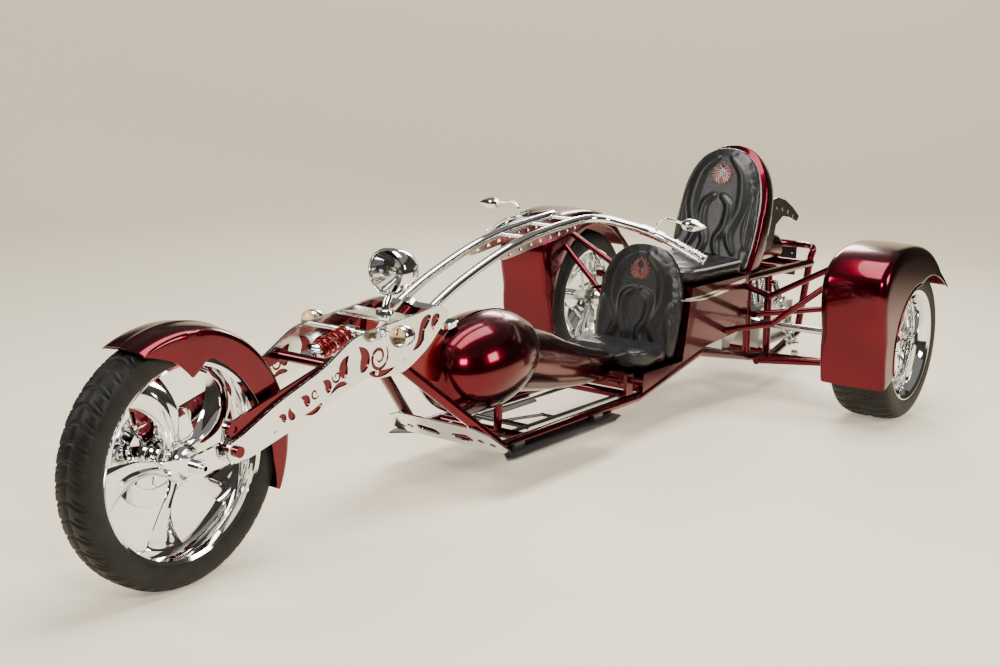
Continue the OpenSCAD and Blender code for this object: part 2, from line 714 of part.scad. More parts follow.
hub_half = 60;
module front_axle() {
    end = rocker_in + rocker_t + 26;
    color(polished) difference() {
        union() {
            rod([front_axle_x, -end, axle_z], [front_axle_x, end, axle_z], axle_d);
            both_sides() {
                rod([front_axle_x, hub_half + 1, axle_z], [front_axle_x, rocker_in - seat_gap, axle_z], 44);
                rod([front_axle_x, rocker_in + rocker_t + seat_gap, axle_z], [front_axle_x, end - 6, axle_z], 42);
            }
        }
        rod([front_axle_x, -end - 5, axle_z], [front_axle_x, end + 5, axle_z], axle_bore_d);
    }
}

// The push arms run from the rockers back to a cross tube behind the wheel.
module push_arms() {
    low = arm_in + 0.5;
    high = low + arm_t - 1;
    color(candy_red) union() {
        both_sides() plate_xz(low, high) difference() {
            link_2d(upper_eye, 24, cross_point, 20);
            translate(upper_eye) circle(d = bolt_d + 2 * fit_gap);
        }
        rod(xz(cross_point, -low - 1), xz(cross_point, low + 1), 32);
        both_sides() {
            rod(xz(upper_eye, low - arm_in + rocker_in - 3), xz(upper_eye, plate_out - 18), bolt_d);
            rod(xz(pivot, rocker_in - 3), xz(pivot, plate_out + 12), bolt_d);
            rod(xz(pivot, plate_out + seat_gap), xz(pivot, plate_out + 12), 32);
        }
    }
}

module front_shock() {
    a = xz(cross_point, 0);
    b = xz(shock_rear, 0);
    along = (b - a) / norm(b - a);
    color("brown") union() {
        rod(a + along * (16 + seat_gap), b, 16);
        rod(a + along * (16 + seat_gap), a + along * 48, 44);
        rod(a + along * 48, b - along * 34, 66);
        rod(b - along * 34, b - along * 14, 50);
        rod(xz(shock_rear, -plate_out + 1), xz(shock_rear, plate_out - 1), bolt_d);
        rod(xz(shock_rear, -20), xz(shock_rear, 20), 34);
    }
}

// A thin fender hugs the tyre, with a pointed flap and a strap to each rocker pivot.
fender_r = front_tyre_r + 16;
front_fender_half = 80;
module front_fender() {
    t = 4;
    a0 = 62;
    a1 = 204;
    rim_arc = arc(fender_r + t / 2, a0, a1, 36);
    edge = [[fender_r - 26, a1], [fender_r - 60, 190], [fender_r - 96, 165], [fender_r - 104, 140], [fender_r - 96, 112],
        [fender_r - 124, 96], [fender_r - 140, 89], [fender_r - 84, 80], [fender_r - 52, 70], [fender_r - 12, a0]];
    axle = [front_axle_x, axle_z];
    color(candy_red) union() {
        translate([front_axle_x, 0, axle_z]) rotate([90, 0, 0]) rotate([0, 0, a0]) rotate_extrude(angle = a1 - a0, $fn = 96)
            polygon([[fender_r, -front_fender_half], [fender_r + t - 1, -front_fender_half], [fender_r + t + 6, -front_fender_half * 0.5],
                [fender_r + t + 8, 0], [fender_r + t + 6, front_fender_half * 0.5], [fender_r + t - 1, front_fender_half],
                [fender_r, front_fender_half], [fender_r + 6, front_fender_half * 0.5], [fender_r + 8, 0], [fender_r + 6, -front_fender_half * 0.5]]);
        both_sides() {
            translate([front_axle_x, 0, axle_z]) plate_xz(front_fender_half - t - 0.5, front_fender_half - 0.5)
                polygon(concat(rim_arc, [for (e = edge) e[0] * [cos(e[1]), sin(e[1])]]));
            plate_xz(front_fender_half - 1, rocker_in - seat_gap) difference() {
                link_2d(pivot, 22, axle + (fender_r - 50) * [cos(158), sin(158)], 20);
                translate(pivot) circle(d = bolt_d + 2);
            }
        }
    }
}

disc_out = 75;
module brake_caliper() {
    spot = [front_axle_x, axle_z] + 128 * [cos(78), sin(78)];
    color("maroon") difference() {
        union() {
            plate_xz(-rocker_in + seat_gap, -rocker_in + seat_gap + 5.2)
                difference() {
                    link_2d([front_axle_x, axle_z], 36, spot, 30);
                    translate([front_axle_x, axle_z]) circle(d = 46);
                }
            translate([spot[0], -rocker_in + seat_gap, spot[1]]) rotate([0, 12, 0]) translate([-45, 0, -26]) cube([90, 28, 60]);
        }
        turned(front_axle_x, 0, axle_z) polygon([[0, 65], [152, 65], [152, 80], [0, 80]]);
        turned(front_axle_x, 0, axle_z) polygon([[0, -1], [95, -1], [95, 79], [0, 79]]);
    }
}

lamp_x = neck_x - 4;
lamp_z = neck_z + 194;
module headlight() {
    r = headlight_d / 2;
    bucket = [[0, 42], [r - 14, 42], [r - 6, 38], [r, 28], [r, 12], [r - 5, 8], [r - 8, -10], [r - 18, -40],
        [r - 38, -66], [r - 60, -78], [0, -80]];
    bridge_top = neck_z + 62 + 6 + seat_gap;
    color(polished) union() {
        translate([lamp_x, 0, lamp_z]) rotate([0, 90, 0]) rotate_extrude($fn = 72) polygon(bucket);
        rod([neck_x + 30, 0, bridge_top + 6], [neck_x + 4, 0, lamp_z - r + 16], 26);
        translate([neck_x + 30, 0, bridge_top]) cylinder(h = 10, d = 60);
    }
}

signal_at = [neck_x + 167, neck_z + 37];
signal_y = 179;
module turn_signals() {
    color(polished) both_sides() {
        rod(xz(signal_at, plate_out + seat_gap), xz(signal_at, signal_y), 14);
        rod(xz(signal_at, plate_out + seat_gap), xz(signal_at, plate_out + 8), 30);
        translate(xz(signal_at, signal_y)) rotate([0, 90, 0]) rotate_extrude($fn = 48)
            polygon([[0, 34], [20, 30], [26, 20], [26, -6], [20, -30], [9, -46], [0, -50]]);
    }
}

// ---------------------------------------------------------------- handlebars

bar_start = at_neck(clamp_at + clamp_t / 2 + seat_gap, 0);
bar_foot = xz(bar_start, bar_half);
bar_route = [bar_foot + 12 * [steer_up[0], 0, steer_up[1]], bar_foot + 40 * [steer_up[0], 0, steer_up[1]],
    [neck_x - 260, bar_half, neck_z + 135], [neck_x - 487, bar_half, neck_z + 211], [neck_x - 668, bar_half, neck_z + 251],
    [neck_x - 856, bar_half + 1, neck_z + 275], [neck_x - 1000, bar_half + 8, neck_z + 288],
    [neck_x - 1075, bar_half + 40, neck_z + 288], [neck_x - 1115, bar_half + 110, neck_z + 274],
    [neck_x - 1151, grip_end_y - 176, neck_z + 242]];
bar_last = [neck_x - 1151, grip_end_y - 176, neck_z + 242];
grip_tip = [neck_x - 1199, grip_end_y, neck_z + 164];
grip_dir = unit(grip_tip - bar_last);
grip_len = 128;
grip_start = grip_tip - grip_len * grip_dir;

bar_line = concat([bar_foot], smooth(bar_route, 4), [grip_start - 2 * grip_dir, grip_tip - 12 * grip_dir]);

// Two long bars leave the upper clamp, run back over the tank and turn outward to the grips.
module handlebars() {
    color(polished) both_sides() sweep(bar_line, bar_d, 14);
    color(polished) for (k = [4 : 6]) both_sides() rod([bar_route[k][0], -1, bar_route[k][2]], bar_route[k], 16);
}

// Flat plates hang under the long bars.
module bar_plates() {
    line = smooth([for (i = [2 : 5]) bar_route[i]], 4);
    drop = bar_d / 2 + 0.7;
    top = [for (p = line) [p[0], p[2] - drop]];
    low = [for (i = [len(line) - 1 : -1 : 0]) [line[i][0], line[i][2] - drop - 46 * sin(180 * (i + 1.2) / (len(line) + 1.4))]];
    color(polished) both_sides() plate_xz(bar_half - 3, bar_half + 3) polygon(concat(top, low));
}

module hand_grips() {
    color(polished) both_sides() difference() {
        union() {
            rod(grip_start, grip_tip, 40);
            for (k = [0 : 6]) rod(grip_start + (10 + 17 * k) * grip_dir, grip_start + (16 + 17 * k) * grip_dir, 44);
        }
        rod(grip_start - 20 * grip_dir, grip_tip - 10 * grip_dir, bar_d + 2 * seat_gap);
    }
}

// A swept stalk carries each pointed mirror.
module mirrors() {
    foot = bar_last + [0, 0, bar_d / 2 + 4];
    head = [neck_x - 1150, grip_end_y - 38, neck_z + 292];
    color(polished) both_sides() {
        difference() {
            translate([foot[0], foot[1], bar_last[2]]) cylinder(h = 30, d = 30, $fn = 32);
            sweep(bar_line, bar_d + 0.8, 14);
            translate([foot[0] - 40, foot[1] - 40, bar_last[2] - 60]) cube([80, 80, 64]);
        }
        sweep(smooth([foot + [0, 0, 8], foot + [0, 8, 44], foot + [0, 60, 62], head + [0, -46, 0]], 5), 11, 10);
        hull() {
            translate(head + [0, -44, 2]) sphere(d = 12, $fn = 24);
            translate(head + [0, -10, 4]) sphere(d = 26, $fn = 24);
            translate(head + [0, 10, -24]) sphere(d = 14, $fn = 24);
            translate(head + [0, 62, -12]) sphere(d = 6, $fn = 24);
        }
    }
}

// ---------------------------------------------------------------- wheels

// Half widths between the rim flanges.
front_flange = 50;
rear_flange = 114;
lip_h = 17;

module rim_ring(r, hw, well) {
    polygon([[r + lip_h, hw + 7], [r + lip_h, hw + 1], [r + 3, hw], [r, hw - 5], [r, hw - 20], [r - well, hw - 34],
        [r - well, -hw + 34], [r, -hw + 20], [r, -hw + 5], [r + 3, -hw], [r + lip_h, -hw - 1], [r + lip_h, -hw - 7],
        [r + lip_h - 9, -hw - 7], [r - 6, -hw - 1], [r - 9, -hw + 22], [r - well - 8, -hw + 36],
        [r - well - 8, hw - 36], [r - 9, hw - 22], [r - 6, hw + 1], [r + lip_h - 9, hw + 7]]);
}

// One half of the tyre wall from the bead to the crown, as distance from the axle and from the middle plane.
function tyre_half(r, w, bead, foot) = let (wide = bead + 20 + 0.3 * (r - bead - 20)) concat(
    [[bead + 0.4, foot - 6], [bead + 3.8, foot], [bead + 20, foot]],
    [for (t = [90 : -22.5 : 22.5]) [wide - (wide - bead - 20) * sin(t), foot + (w / 2 - foot) * cos(t)]],
    [for (t = [0 : 9 : 81]) [wide + (r - wide) * pow(sin(t), 0.72), w / 2 * pow(cos(t), 0.62)]]);
function flipped(list) = [for (i = [len(list) - 1 : -1 : 0]) [list[i][0], -list[i][1]]];
module tyre_2d(r, w, bead, hw) {
    wall = 10;
    outer = tyre_half(r, w, bead, hw - 0.4);
    inner = tyre_half(r - wall - 2, w - 2 * wall, bead + 0.01, hw - 13);
    whole = concat(outer, [[r, 0]], flipped(outer));
    hole = concat(inner, [[r - wall - 2, 0]], flipped(inner));
    polygon(concat(whole, [for (i = [len(hole) - 1 : -1 : 0]) hole[i]]));
}

front_spokes = 5;
blade_half = 12;
module front_rim() {
    blade = [for (t = [0 : 0.1 : 1]) [44 + 204 * t, 10 + 34 * sin(180 * pow(t, 0.8)) + 22 * t * t]];
    back = [for (t = [1 : -0.1 : 0]) [44 + 204 * t, -10 - 16 * sin(180 * t) + 30 * t * t]];
    color(polished) difference() {
        union() {
            turned(front_axle_x, 0, axle_z) rim_ring(front_rim_r, front_flange, 14);
            for (k = [0 : front_spokes - 1]) translate([front_axle_x, 0, axle_z]) rotate([0, 360 / front_spokes * k, 0])
                plate_xz(-blade_half, blade_half) polygon(concat(blade, back) * ((front_rim_r - 18) / 249));
            rod([front_axle_x, -hub_half, axle_z], [front_axle_x, hub_half, axle_z], 92);
            rod([front_axle_x, -32, axle_z], [front_axle_x, 32, axle_z], 112);
            turned(front_axle_x, 0, axle_z) polygon([[50, 70.5], [146, 70.5], [146, disc_out], [50, disc_out]]);
            turned(front_axle_x, 0, axle_z) polygon([[36, 40], [58, 40], [58, 72], [36, 72]]);
        }
        rod([front_axle_x, -hub_half - 30, axle_z], [front_axle_x, hub_half + 30, axle_z], axle_d + 2 * fit_gap);
        for (s = [0 : 29]) translate([front_axle_x, 0, axle_z]) rotate([0, 12 * s, 0])
            translate([s % 2 == 0 ? 104 : 126, -72, 0]) rotate([90, 0, 0]) cylinder(h = 20, d = 8, center = true, $fn = 24);
    }
}
module front_tyre() color(black) turned(front_axle_x, 0, axle_z) tyre_2d(front_tyre_r, front_tyre_w, front_rim_r, front_flange);

rear_spokes = 10;
hub_face = 58;
module rear_rim() {
    r_in = rear_rim_r - 24;
    difference() {
        union() {
            turned(rear_axle_x, wheel_y, spindle_z) rim_ring(rear_rim_r, rear_flange, 12);
            for (k = [0 : rear_spokes - 1]) translate([rear_axle_x, wheel_y, spindle_z]) rotate([0, 360 / rear_spokes * k, 0])
                plate_xz(hub_face - 26, hub_face) polygon([[40, -16], [r_in - 50, -9], [r_in, -24], [r_in + 6, 0], [r_in, 24], [r_in - 50, 9], [40, 16]]);
            rod([rear_axle_x, wheel_y - 20, spindle_z], [rear_axle_x, wheel_y + hub_face + 2, spindle_z], 130);
        }
        rod([rear_axle_x, wheel_y - 60, spindle_z], [rear_axle_x, wheel_y + 100, spindle_z], spindle_d + 2 * fit_gap);
        for (k = [0 : 4]) translate([rear_axle_x, wheel_y + hub_face, spindle_z]) rotate([0, 72 * k, 0])
            translate([46, 0, 0]) rotate([90, 0, 0]) cylinder(h = 60, d = 13, center = true, $fn = 24);
    }
}
module left_rim() color(polished) rear_rim();
module right_rim() color(polished) mirror([0, 1, 0]) rear_rim();
module rear_tyre() turned(rear_axle_x, wheel_y, spindle_z) tyre_2d(rear_tyre_r, rear_tyre_w, rear_rim_r, rear_flange);
module left_tyre() color(black) rear_tyre();
module right_tyre() color(black) mirror([0, 1, 0]) rear_tyre();

front_frame();
rear_frame();
neck_cover();
skid_plate();
left_floorboard();
right_floorboard();
fuel_tank();
fuel_cap();
body_spine();
foot_controls();
brake_linkage();
driver_cushion();
driver_backrest();
passenger_cushion();
passenger_backrest();
seat_shell();
body_tub();
engine_block();
engine_cylinders();
air_cleaner();
exhaust_pipes();
tail_cowl();
rack_rails();
tail_hoop();
plate_bracket();
differential();
half_shafts();
control_arms();
rear_knuckles();
rear_shocks();
left_fender();
right_fender();
fender_struts();
fork_plates();
fork_clamps();
fork_rockers();
front_axle();
push_arms();
front_shock();
front_fender();
brake_caliper();
headlight();
turn_signals();
handlebars();
bar_plates();
hand_grips();
mirrors();
front_rim();
front_tyre();
left_rim();
left_tyre();
right_rim();
right_tyre();
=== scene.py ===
import json
import math
import bpy
import numpy as np
from mathutils import Matrix, Vector
from mathutils.geometry import delaunay_2d_cdt


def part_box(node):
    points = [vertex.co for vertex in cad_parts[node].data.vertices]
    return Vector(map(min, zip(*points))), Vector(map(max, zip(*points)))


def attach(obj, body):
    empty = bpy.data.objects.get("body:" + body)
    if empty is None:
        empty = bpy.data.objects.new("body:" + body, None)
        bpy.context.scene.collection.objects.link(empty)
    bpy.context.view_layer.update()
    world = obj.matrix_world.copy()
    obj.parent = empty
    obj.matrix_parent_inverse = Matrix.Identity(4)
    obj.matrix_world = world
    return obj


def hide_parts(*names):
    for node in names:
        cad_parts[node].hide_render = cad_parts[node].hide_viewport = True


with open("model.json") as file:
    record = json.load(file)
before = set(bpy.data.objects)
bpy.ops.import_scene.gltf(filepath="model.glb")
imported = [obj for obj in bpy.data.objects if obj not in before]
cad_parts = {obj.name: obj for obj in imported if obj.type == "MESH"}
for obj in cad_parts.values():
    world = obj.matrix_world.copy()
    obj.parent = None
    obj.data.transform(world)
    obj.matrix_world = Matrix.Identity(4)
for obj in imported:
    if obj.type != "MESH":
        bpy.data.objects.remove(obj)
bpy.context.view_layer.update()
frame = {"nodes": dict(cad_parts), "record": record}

nodes = frame["nodes"]


def corners(node):
    """The low and the high corner of a CAD node's box."""
    return (np.array(corner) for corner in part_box(node))


joints = {joint["name"]: joint for joint in frame["record"]["behaviour"]["joints"]}
front_axle = np.array(joints["front_wheel_spin"]["pos_m"])
left_axle = np.array(joints["left_wheel_spin"]["pos_m"])
neck = np.array(joints["steering"]["pos_m"])

# ---------------------------------------------------------------- camera
# The camera stands ahead of the trike on its left at chest height, looks slightly down,
# and is tipped a couple of degrees, as a camera held by hand is.
camera_place = Vector((4.2126, 2.7438, 1.4432))
heading, pitch, roll = (math.radians(a) for a in (-145.32, -11.28, 2.22))
forward = Vector((math.cos(pitch) * math.cos(heading), math.cos(pitch) * math.sin(heading), math.sin(pitch)))
level_right = Vector((math.sin(heading), -math.cos(heading), 0))
level_up = level_right.cross(forward)
camera_x = math.cos(roll) * level_right + math.sin(roll) * level_up
camera_y = math.cos(roll) * level_up - math.sin(roll) * level_right
camera = bpy.data.objects.new("camera", bpy.data.cameras.new("camera"))
camera.data.lens = 50.55
camera.data.sensor_width = 36
camera_turn = Matrix((camera_x, camera_y, -forward)).transposed().to_4x4()
camera.matrix_world = Matrix.Translation(camera_place) @ camera_turn
bpy.context.collection.objects.link(camera)
bpy.context.scene.camera = camera


# ---------------------------------------------------------------- studio
# A round studio: a painted floor runs up into a pale wall through a cove. It darkens high up
# and outside the camera's view, which gives the paint and bright metal something dark to
# reflect. From outside, its wall is clear.
def material(name, **sockets):
    """A node material with those values on the shader's own sockets."""
    made = bpy.data.materials.new(name)
    made.use_nodes = True
    shader = made.node_tree.nodes["Principled BSDF"]
    for key, value in sockets.items():
        socket = shader.inputs[key.replace("_", " ").title().replace("Ior", "IOR")]
        socket.default_value = (*value, 1) if isinstance(value, tuple) else value
    return made, made.node_tree, shader


def add(tree, kind, links=(), **values):
    """A shader node of that kind: values set its settings or sockets, links join its sockets up."""
    node = tree.nodes.new("ShaderNode" + kind)
    for key, value in values.items():
        if hasattr(node, key):
            setattr(node, key, value)
        else:
            node.inputs[key.replace("_", " ").title()].default_value = value
    for name, source in links:
        tree.links.new(source, node.inputs[name])
    return node


def ramp(tree, factor, stops):
    """A colour ramp over factor: stops are (place, colour)."""
    node = add(tree, "ValToRGB", [("Fac", factor)])
    elements = node.color_ramp.elements
    while len(elements) < len(stops):
        elements.new(0.5)
    for element, (place, colour) in zip(elements, stops):
        element.position = place
        element.color = (*colour, 1)
    return node.outputs["Color"]


def quads_of(rows, columns, wrap_rows=False, wrap_columns=False):
    """The four-cornered faces of a grid of points numbered row by row."""
    index = np.arange(rows * columns).reshape(rows, columns)
    if wrap_rows:
        index = np.vstack([index, index[:1]])
    if wrap_columns:
        index = np.hstack([index, index[:, :1]])
    return np.stack([index[:-1, :-1], index[1:, :-1], index[1:, 1:], index[:-1, 1:]], axis=-1).reshape(-1, 4)


def ends_of(rows, columns):
    """The two faces that close such a grid at its first and last row, where its columns wrap round."""
    return [tuple(range(columns)), tuple(range(rows * columns - 1, (rows - 1) * columns - 1, -1))]


def made(name, shapes, finish, smooth_angle=40):
    """One object from several (points, faces) shapes, joined and shaded smooth up to that angle."""
    points, faces, start = [], [], 0
    for shape_points, shape_faces in shapes:
        points.append(np.asarray(shape_points, dtype=float).reshape(-1, 3))
        faces += [tuple(int(k) + start for k in face) for face in shape_faces]
        start += len(points[-1])
    mesh = bpy.data.meshes.new(name)
    mesh.from_pydata(np.vstack(points), [], faces)
    mesh.validate()
    piece = bpy.data.objects.new(name, mesh)
    bpy.context.collection.objects.link(piece)
    mesh.materials.append(finish)
    mesh.shade_smooth()
    mesh.set_sharp_from_angle(angle=math.radians(smooth_angle))
    return piece


studio_paint, tree, shader = material("studio_paint", roughness=0.62)
place = add(tree, "TexCoord").outputs["Object"]
height = add(tree, "SeparateXYZ", [("Vector", place)]).outputs["Z"]


def beside(edge, offset):
    """How far a place lies inside one upright edge of the camera's view, in metres. The edge is given
    by the level direction that points into the view, and its distance from the origin."""
    reach = add(tree, "VectorMath", [(0, place)], operation="DOT_PRODUCT")
    reach.inputs[1].default_value = edge
    inward = add(tree, "Math", [(0, reach.outputs["Value"])], operation="ADD")
    inward.inputs[1].default_value = offset
    return inward.outputs[0]


view_right, view_left = ((0.259, -0.966, 0), 1.52), ((-0.812, 0.583, 0), 1.84)
in_view = add(tree, "Math", [(0, beside(*view_right)), (1, beside(*view_left))], operation="MINIMUM")
aside = add(tree, "MapRange", [("Value", in_view.outputs[0])], from_min=-0.3, from_max=-1.2, to_min=0.0,
            to_max=1.0)
distance = add(tree, "VectorMath", [(0, place)], operation="LENGTH")
outer = add(tree, "MapRange", [("Value", distance.outputs["Value"])], from_min=4.2, from_max=6.2, to_min=0.0,
            to_max=1.0)
behind_view = add(tree, "Math", [(0, aside.outputs["Result"]), (1, outer.outputs["Result"])],
                  operation="MULTIPLY")
above = add(tree, "MapRange", [("Value", height)], from_min=3.4, from_max=5.2, to_min=0.0, to_max=1.0)
dark = add(tree, "Math", [(0, behind_view.outputs[0]), (1, above.outputs["Result"])], operation="MAXIMUM")
shade = ramp(tree, dark.outputs[0], [(0.0, (0.84, 0.755, 0.575)), (1.0, (0.035, 0.030, 0.026))])
tree.links.new(shade, shader.inputs["Base Color"])
tree.links.new(shade, shader.inputs["Emission Color"])
shader.inputs["Emission Strength"].default_value = 0.42
outside = add(tree, "NewGeometry").outputs["Backfacing"]
see_through = add(tree, "MixShader", [("Fac", outside), (1, shader.outputs["BSDF"]),
                                      (2, add(tree, "BsdfTransparent").outputs["BSDF"])])
tree.links.new(see_through.outputs["Shader"], tree.nodes["Material Output"].inputs["Surface"])

studio_radius, cove, wall_top = 9.0, 2.2, 6.5
turn = np.linspace(0, math.pi / 2, 17)
studio_profile = np.vstack([[[0.01, 0], [4, 0]],
                            np.column_stack([studio_radius - cove + cove * np.sin(turn),
                                             cove - cove * np.cos(turn)]),
                            [[studio_radius, wall_top]]])
around = np.linspace(0, 2 * math.pi, 96, endpoint=False)
studio_points = np.stack([np.outer(np.cos(around), studio_profile[:, 0]),
                          np.outer(np.sin(around), studio_profile[:, 0]),
                          np.tile(studio_profile[:, 1], (96, 1))], axis=-1)
studio = made("studio", [(studio_points, quads_of(96, len(studio_profile), wrap_rows=True)[:, ::-1])],
              studio_paint, 80)

world = bpy.data.worlds.new("studio_air")
world.use_nodes = True
world.node_tree.nodes["Background"].inputs["Color"].default_value = (1.0, 0.96, 0.90, 1)
world.node_tree.nodes["Background"].inputs["Strength"].default_value = 0.22
bpy.context.scene.world = world


# Soft boxes hang round the trike. Each shines at a point near its middle.
def soft_box(name, at, aim, size, watts, tint=(1, 0.965, 0.90)):
    """A flat square lamp at a place, turned to face the aim point."""
    lamp = bpy.data.lights.new(name, "AREA")
    lamp.shape = "RECTANGLE"
    lamp.size, lamp.size_y = size
    lamp.energy = watts
    lamp.color = tint
    box = bpy.data.objects.new(name, lamp)
    aimed = (Vector(aim) - Vector(at)).to_track_quat("-Z", "Y")
    box.matrix_world = Matrix.Translation(at) @ aimed.to_matrix().to_4x4()
    bpy.context.collection.objects.link(box)


soft_box("overhead", (-0.2, 0.4, 4.6), (-0.2, 0, 0), (4.6, 2.2), 330)
soft_box("front_left", (4.2, 4.4, 3.6), (0.2, 0, 0.4), (1.7, 1.3), 230)
soft_box("side_left", (-1.8, 5.4, 2.7), (-0.6, 0, 0.5), (1.5, 1.6), 150)
soft_box("front_right", (4.4, -3.4, 3.2), (0.2, 0, 0.4), (1.4, 1.6), 130)
soft_box("back", (-5.4, -2.2, 3.4), (-0.6, 0, 0.4), (2.2, 1.4), 190)


# ---------------------------------------------------------------- frame
# Welded steel tube, painted in a candy burgundy: a dark metallic base under tinted lacquer
# and a clear coat. The fork, arms and struts carry the same paint.
def candy_paint(name, deep, bright, rough=0.20):
    """Metal flake seen through tinted lacquer: fine cells vary the colour and tip the surface a little."""
    paint, tree, shader = material(name, metallic=1.0, roughness=rough, coat_weight=0.4, coat_roughness=0.02)
    place = add(tree, "TexCoord").outputs["Object"]
    flake = add(tree, "TexVoronoi", [("Vector", place)], scale=1400.0)
    cloud = add(tree, "TexNoise", [("Vector", place)], scale=3.0, detail=3.0)
    tone = add(tree, "Math", [(0, flake.outputs["Distance"]), (1, cloud.outputs["Fac"])],
               operation="MULTIPLY")
    colour = ramp(tree, tone.outputs[0], [(0.05, deep), (0.5, bright)])
    tree.links.new(colour, shader.inputs["Base Color"])
    bump = add(tree, "Bump", [("Height", flake.outputs["Distance"])], strength=0.05, distance=0.0004)
    tree.links.new(bump.outputs["Normal"], shader.inputs["Normal"])
    return paint


burgundy = candy_paint("burgundy", (0.060, 0.0004, 0.005), (0.145, 0.0010, 0.011))
scarlet = candy_paint("scarlet", (0.15, 0.0015, 0.004), (0.29, 0.004, 0.008), 0.28)


def finish_nodes(finish, *names):
    """Gives carried-over CAD nodes that finish in place of their plain one."""
    for name in names:
        for each in nodes[name].material_slots:
            each.material = finish


finish_nodes(burgundy, "front_frame", "rear_frame", "foot_controls", "control_arms", "fender_struts",
             "push_arms", "body_tub", "brake_caliper")
finish_nodes(scarlet, "neck_cover")


# ---------------------------------------------------------------- plain metal nodes
# Chromed and polished parts that keep their plain shape: forgings, shafts and brackets.
def bright_metal(name, colour, rough, grain=60.0, marks=0.05):
    """Polished metal: slow noise varies the roughness as fingerprints and polishing marks do."""
    metal, tree, shader = material(name, metallic=1.0, base_color=colour)
    place = add(tree, "TexCoord").outputs["Object"]
    smear = add(tree, "TexNoise", [("Vector", place)], scale=grain, detail=4.0)
    spread = add(tree, "MapRange", [("Value", smear.outputs["Fac"])], to_min=rough, to_max=rough + marks)
    tree.links.new(spread.outputs["Result"], shader.inputs["Roughness"])
    bump = add(tree, "Bump", [("Height", smear.outputs["Fac"])], strength=0.03, distance=0.0005)
    tree.links.new(bump.outputs["Normal"], shader.inputs["Normal"])
    return metal


chrome = bright_metal("chrome", (0.86, 0.87, 0.88), 0.03)
polished = bright_metal("polished_aluminium", (0.80, 0.80, 0.79), 0.09, 35.0, 0.08)
cast = bright_metal("cast_aluminium", (0.62, 0.62, 0.62), 0.26, 220.0, 0.15)
black_enamel, tree, shader = material("black_enamel", base_color=(0.012, 0.012, 0.013), coat_weight=0.6)
speck = add(tree, "TexNoise", [("Vector", add(tree, "TexCoord").outputs["Object"])], scale=900.0, detail=2.0)
gloss = add(tree, "MapRange", [("Value", speck.outputs["Fac"])], to_min=0.25, to_max=0.5)
tree.links.new(gloss.outputs["Result"], shader.inputs["Roughness"])

finish_nodes(chrome, "front_axle", "fork_rockers")
finish_nodes(polished, "fork_clamps", "fuel_cap", "skid_plate", "rear_knuckles", "half_shafts")
finish_nodes(cast, "differential", "engine_block")
finish_nodes(black_enamel, "left_floorboard", "right_floorboard", "brake_linkage", "plate_bracket")


# ---------------------------------------------------------------- fuel tank
# A spun steel tank, egg shaped, with a raised seam over its top and a flush cap.
def unit(v):
    """Vectors scaled to length one."""
    return v / np.linalg.norm(v, axis=-1, keepdims=True)


def spline(points, steps, closed=False):
    """A Catmull-Rom curve through the points: a cubic in t for each stretch, sloped by its neighbours."""
    p = np.asarray(points, dtype=float)
    before, after, ahead = np.roll(p, 1, 0), np.roll(p, -1, 0), np.roll(p, -2, 0)
    if not closed:
        before[0], ahead[-2] = p[0], p[-1]
    t = (np.arange(steps) / steps)[None, :, None]
    stretches = len(p) if closed else len(p) - 1
    a, b, c, d = (q[:stretches, None, :] for q in (before, p, after, ahead))
    curve = 0.5 * (2 * b + (c - a) * t + (2 * a - 5 * b + 4 * c - d) * t ** 2
                   + (3 * b - a - 3 * c + d) * t ** 3)
    curve = curve.reshape(-1, p.shape[1])
    return curve if closed else np.vstack([curve, p[-1]])


def flip_if_inside_out(points, faces):
    """Turns the faces of a closed shape round when the volume they enclose comes out negative."""
    p = np.asarray(points, dtype=float).reshape(-1, 3)
    fans = np.array([(face[0], face[k], face[k + 1]) for face in faces for k in range(1, len(face) - 1)])
    volume = np.einsum("ij,ij->", p[fans[:, 0]], np.cross(p[fans[:, 1]], p[fans[:, 2]]))
    return p, [tuple(face)[::-1] if volume < 0 else tuple(face) for face in faces]


def turned(profile, centre, axis="y", steps=96, closed=True, start=0.0, end=2 * math.pi):
    """A profile of (radius, distance along the axis) points carried round an axis through the centre."""
    profile = np.asarray(profile, dtype=float)
    whole = abs(end - start - 2 * math.pi) < 1e-6
    angle = np.linspace(start, end, steps, endpoint=not whole)
    across, along = np.outer(np.cos(angle), profile[:, 0]), np.tile(profile[:, 1], (steps, 1))
    up = np.outer(np.sin(angle), profile[:, 0])
    order = {"x": (along, across, up), "y": (across, along, up), "z": (across, up, along)}[axis]
    points = np.stack(order, axis=-1) + np.asarray(centre)
    faces = [tuple(f) for f in quads_of(steps, len(profile), wrap_rows=whole, wrap_columns=closed)]
    if not closed and whole:
        ring = np.arange(steps) * len(profile)
        for offset in (0, len(profile) - 1):
            if profile[offset if offset == 0 else -1, 0] > 1e-6:
                faces.append(tuple(ring + offset if offset else (ring + offset)[::-1]))
    return flip_if_inside_out(points, faces)


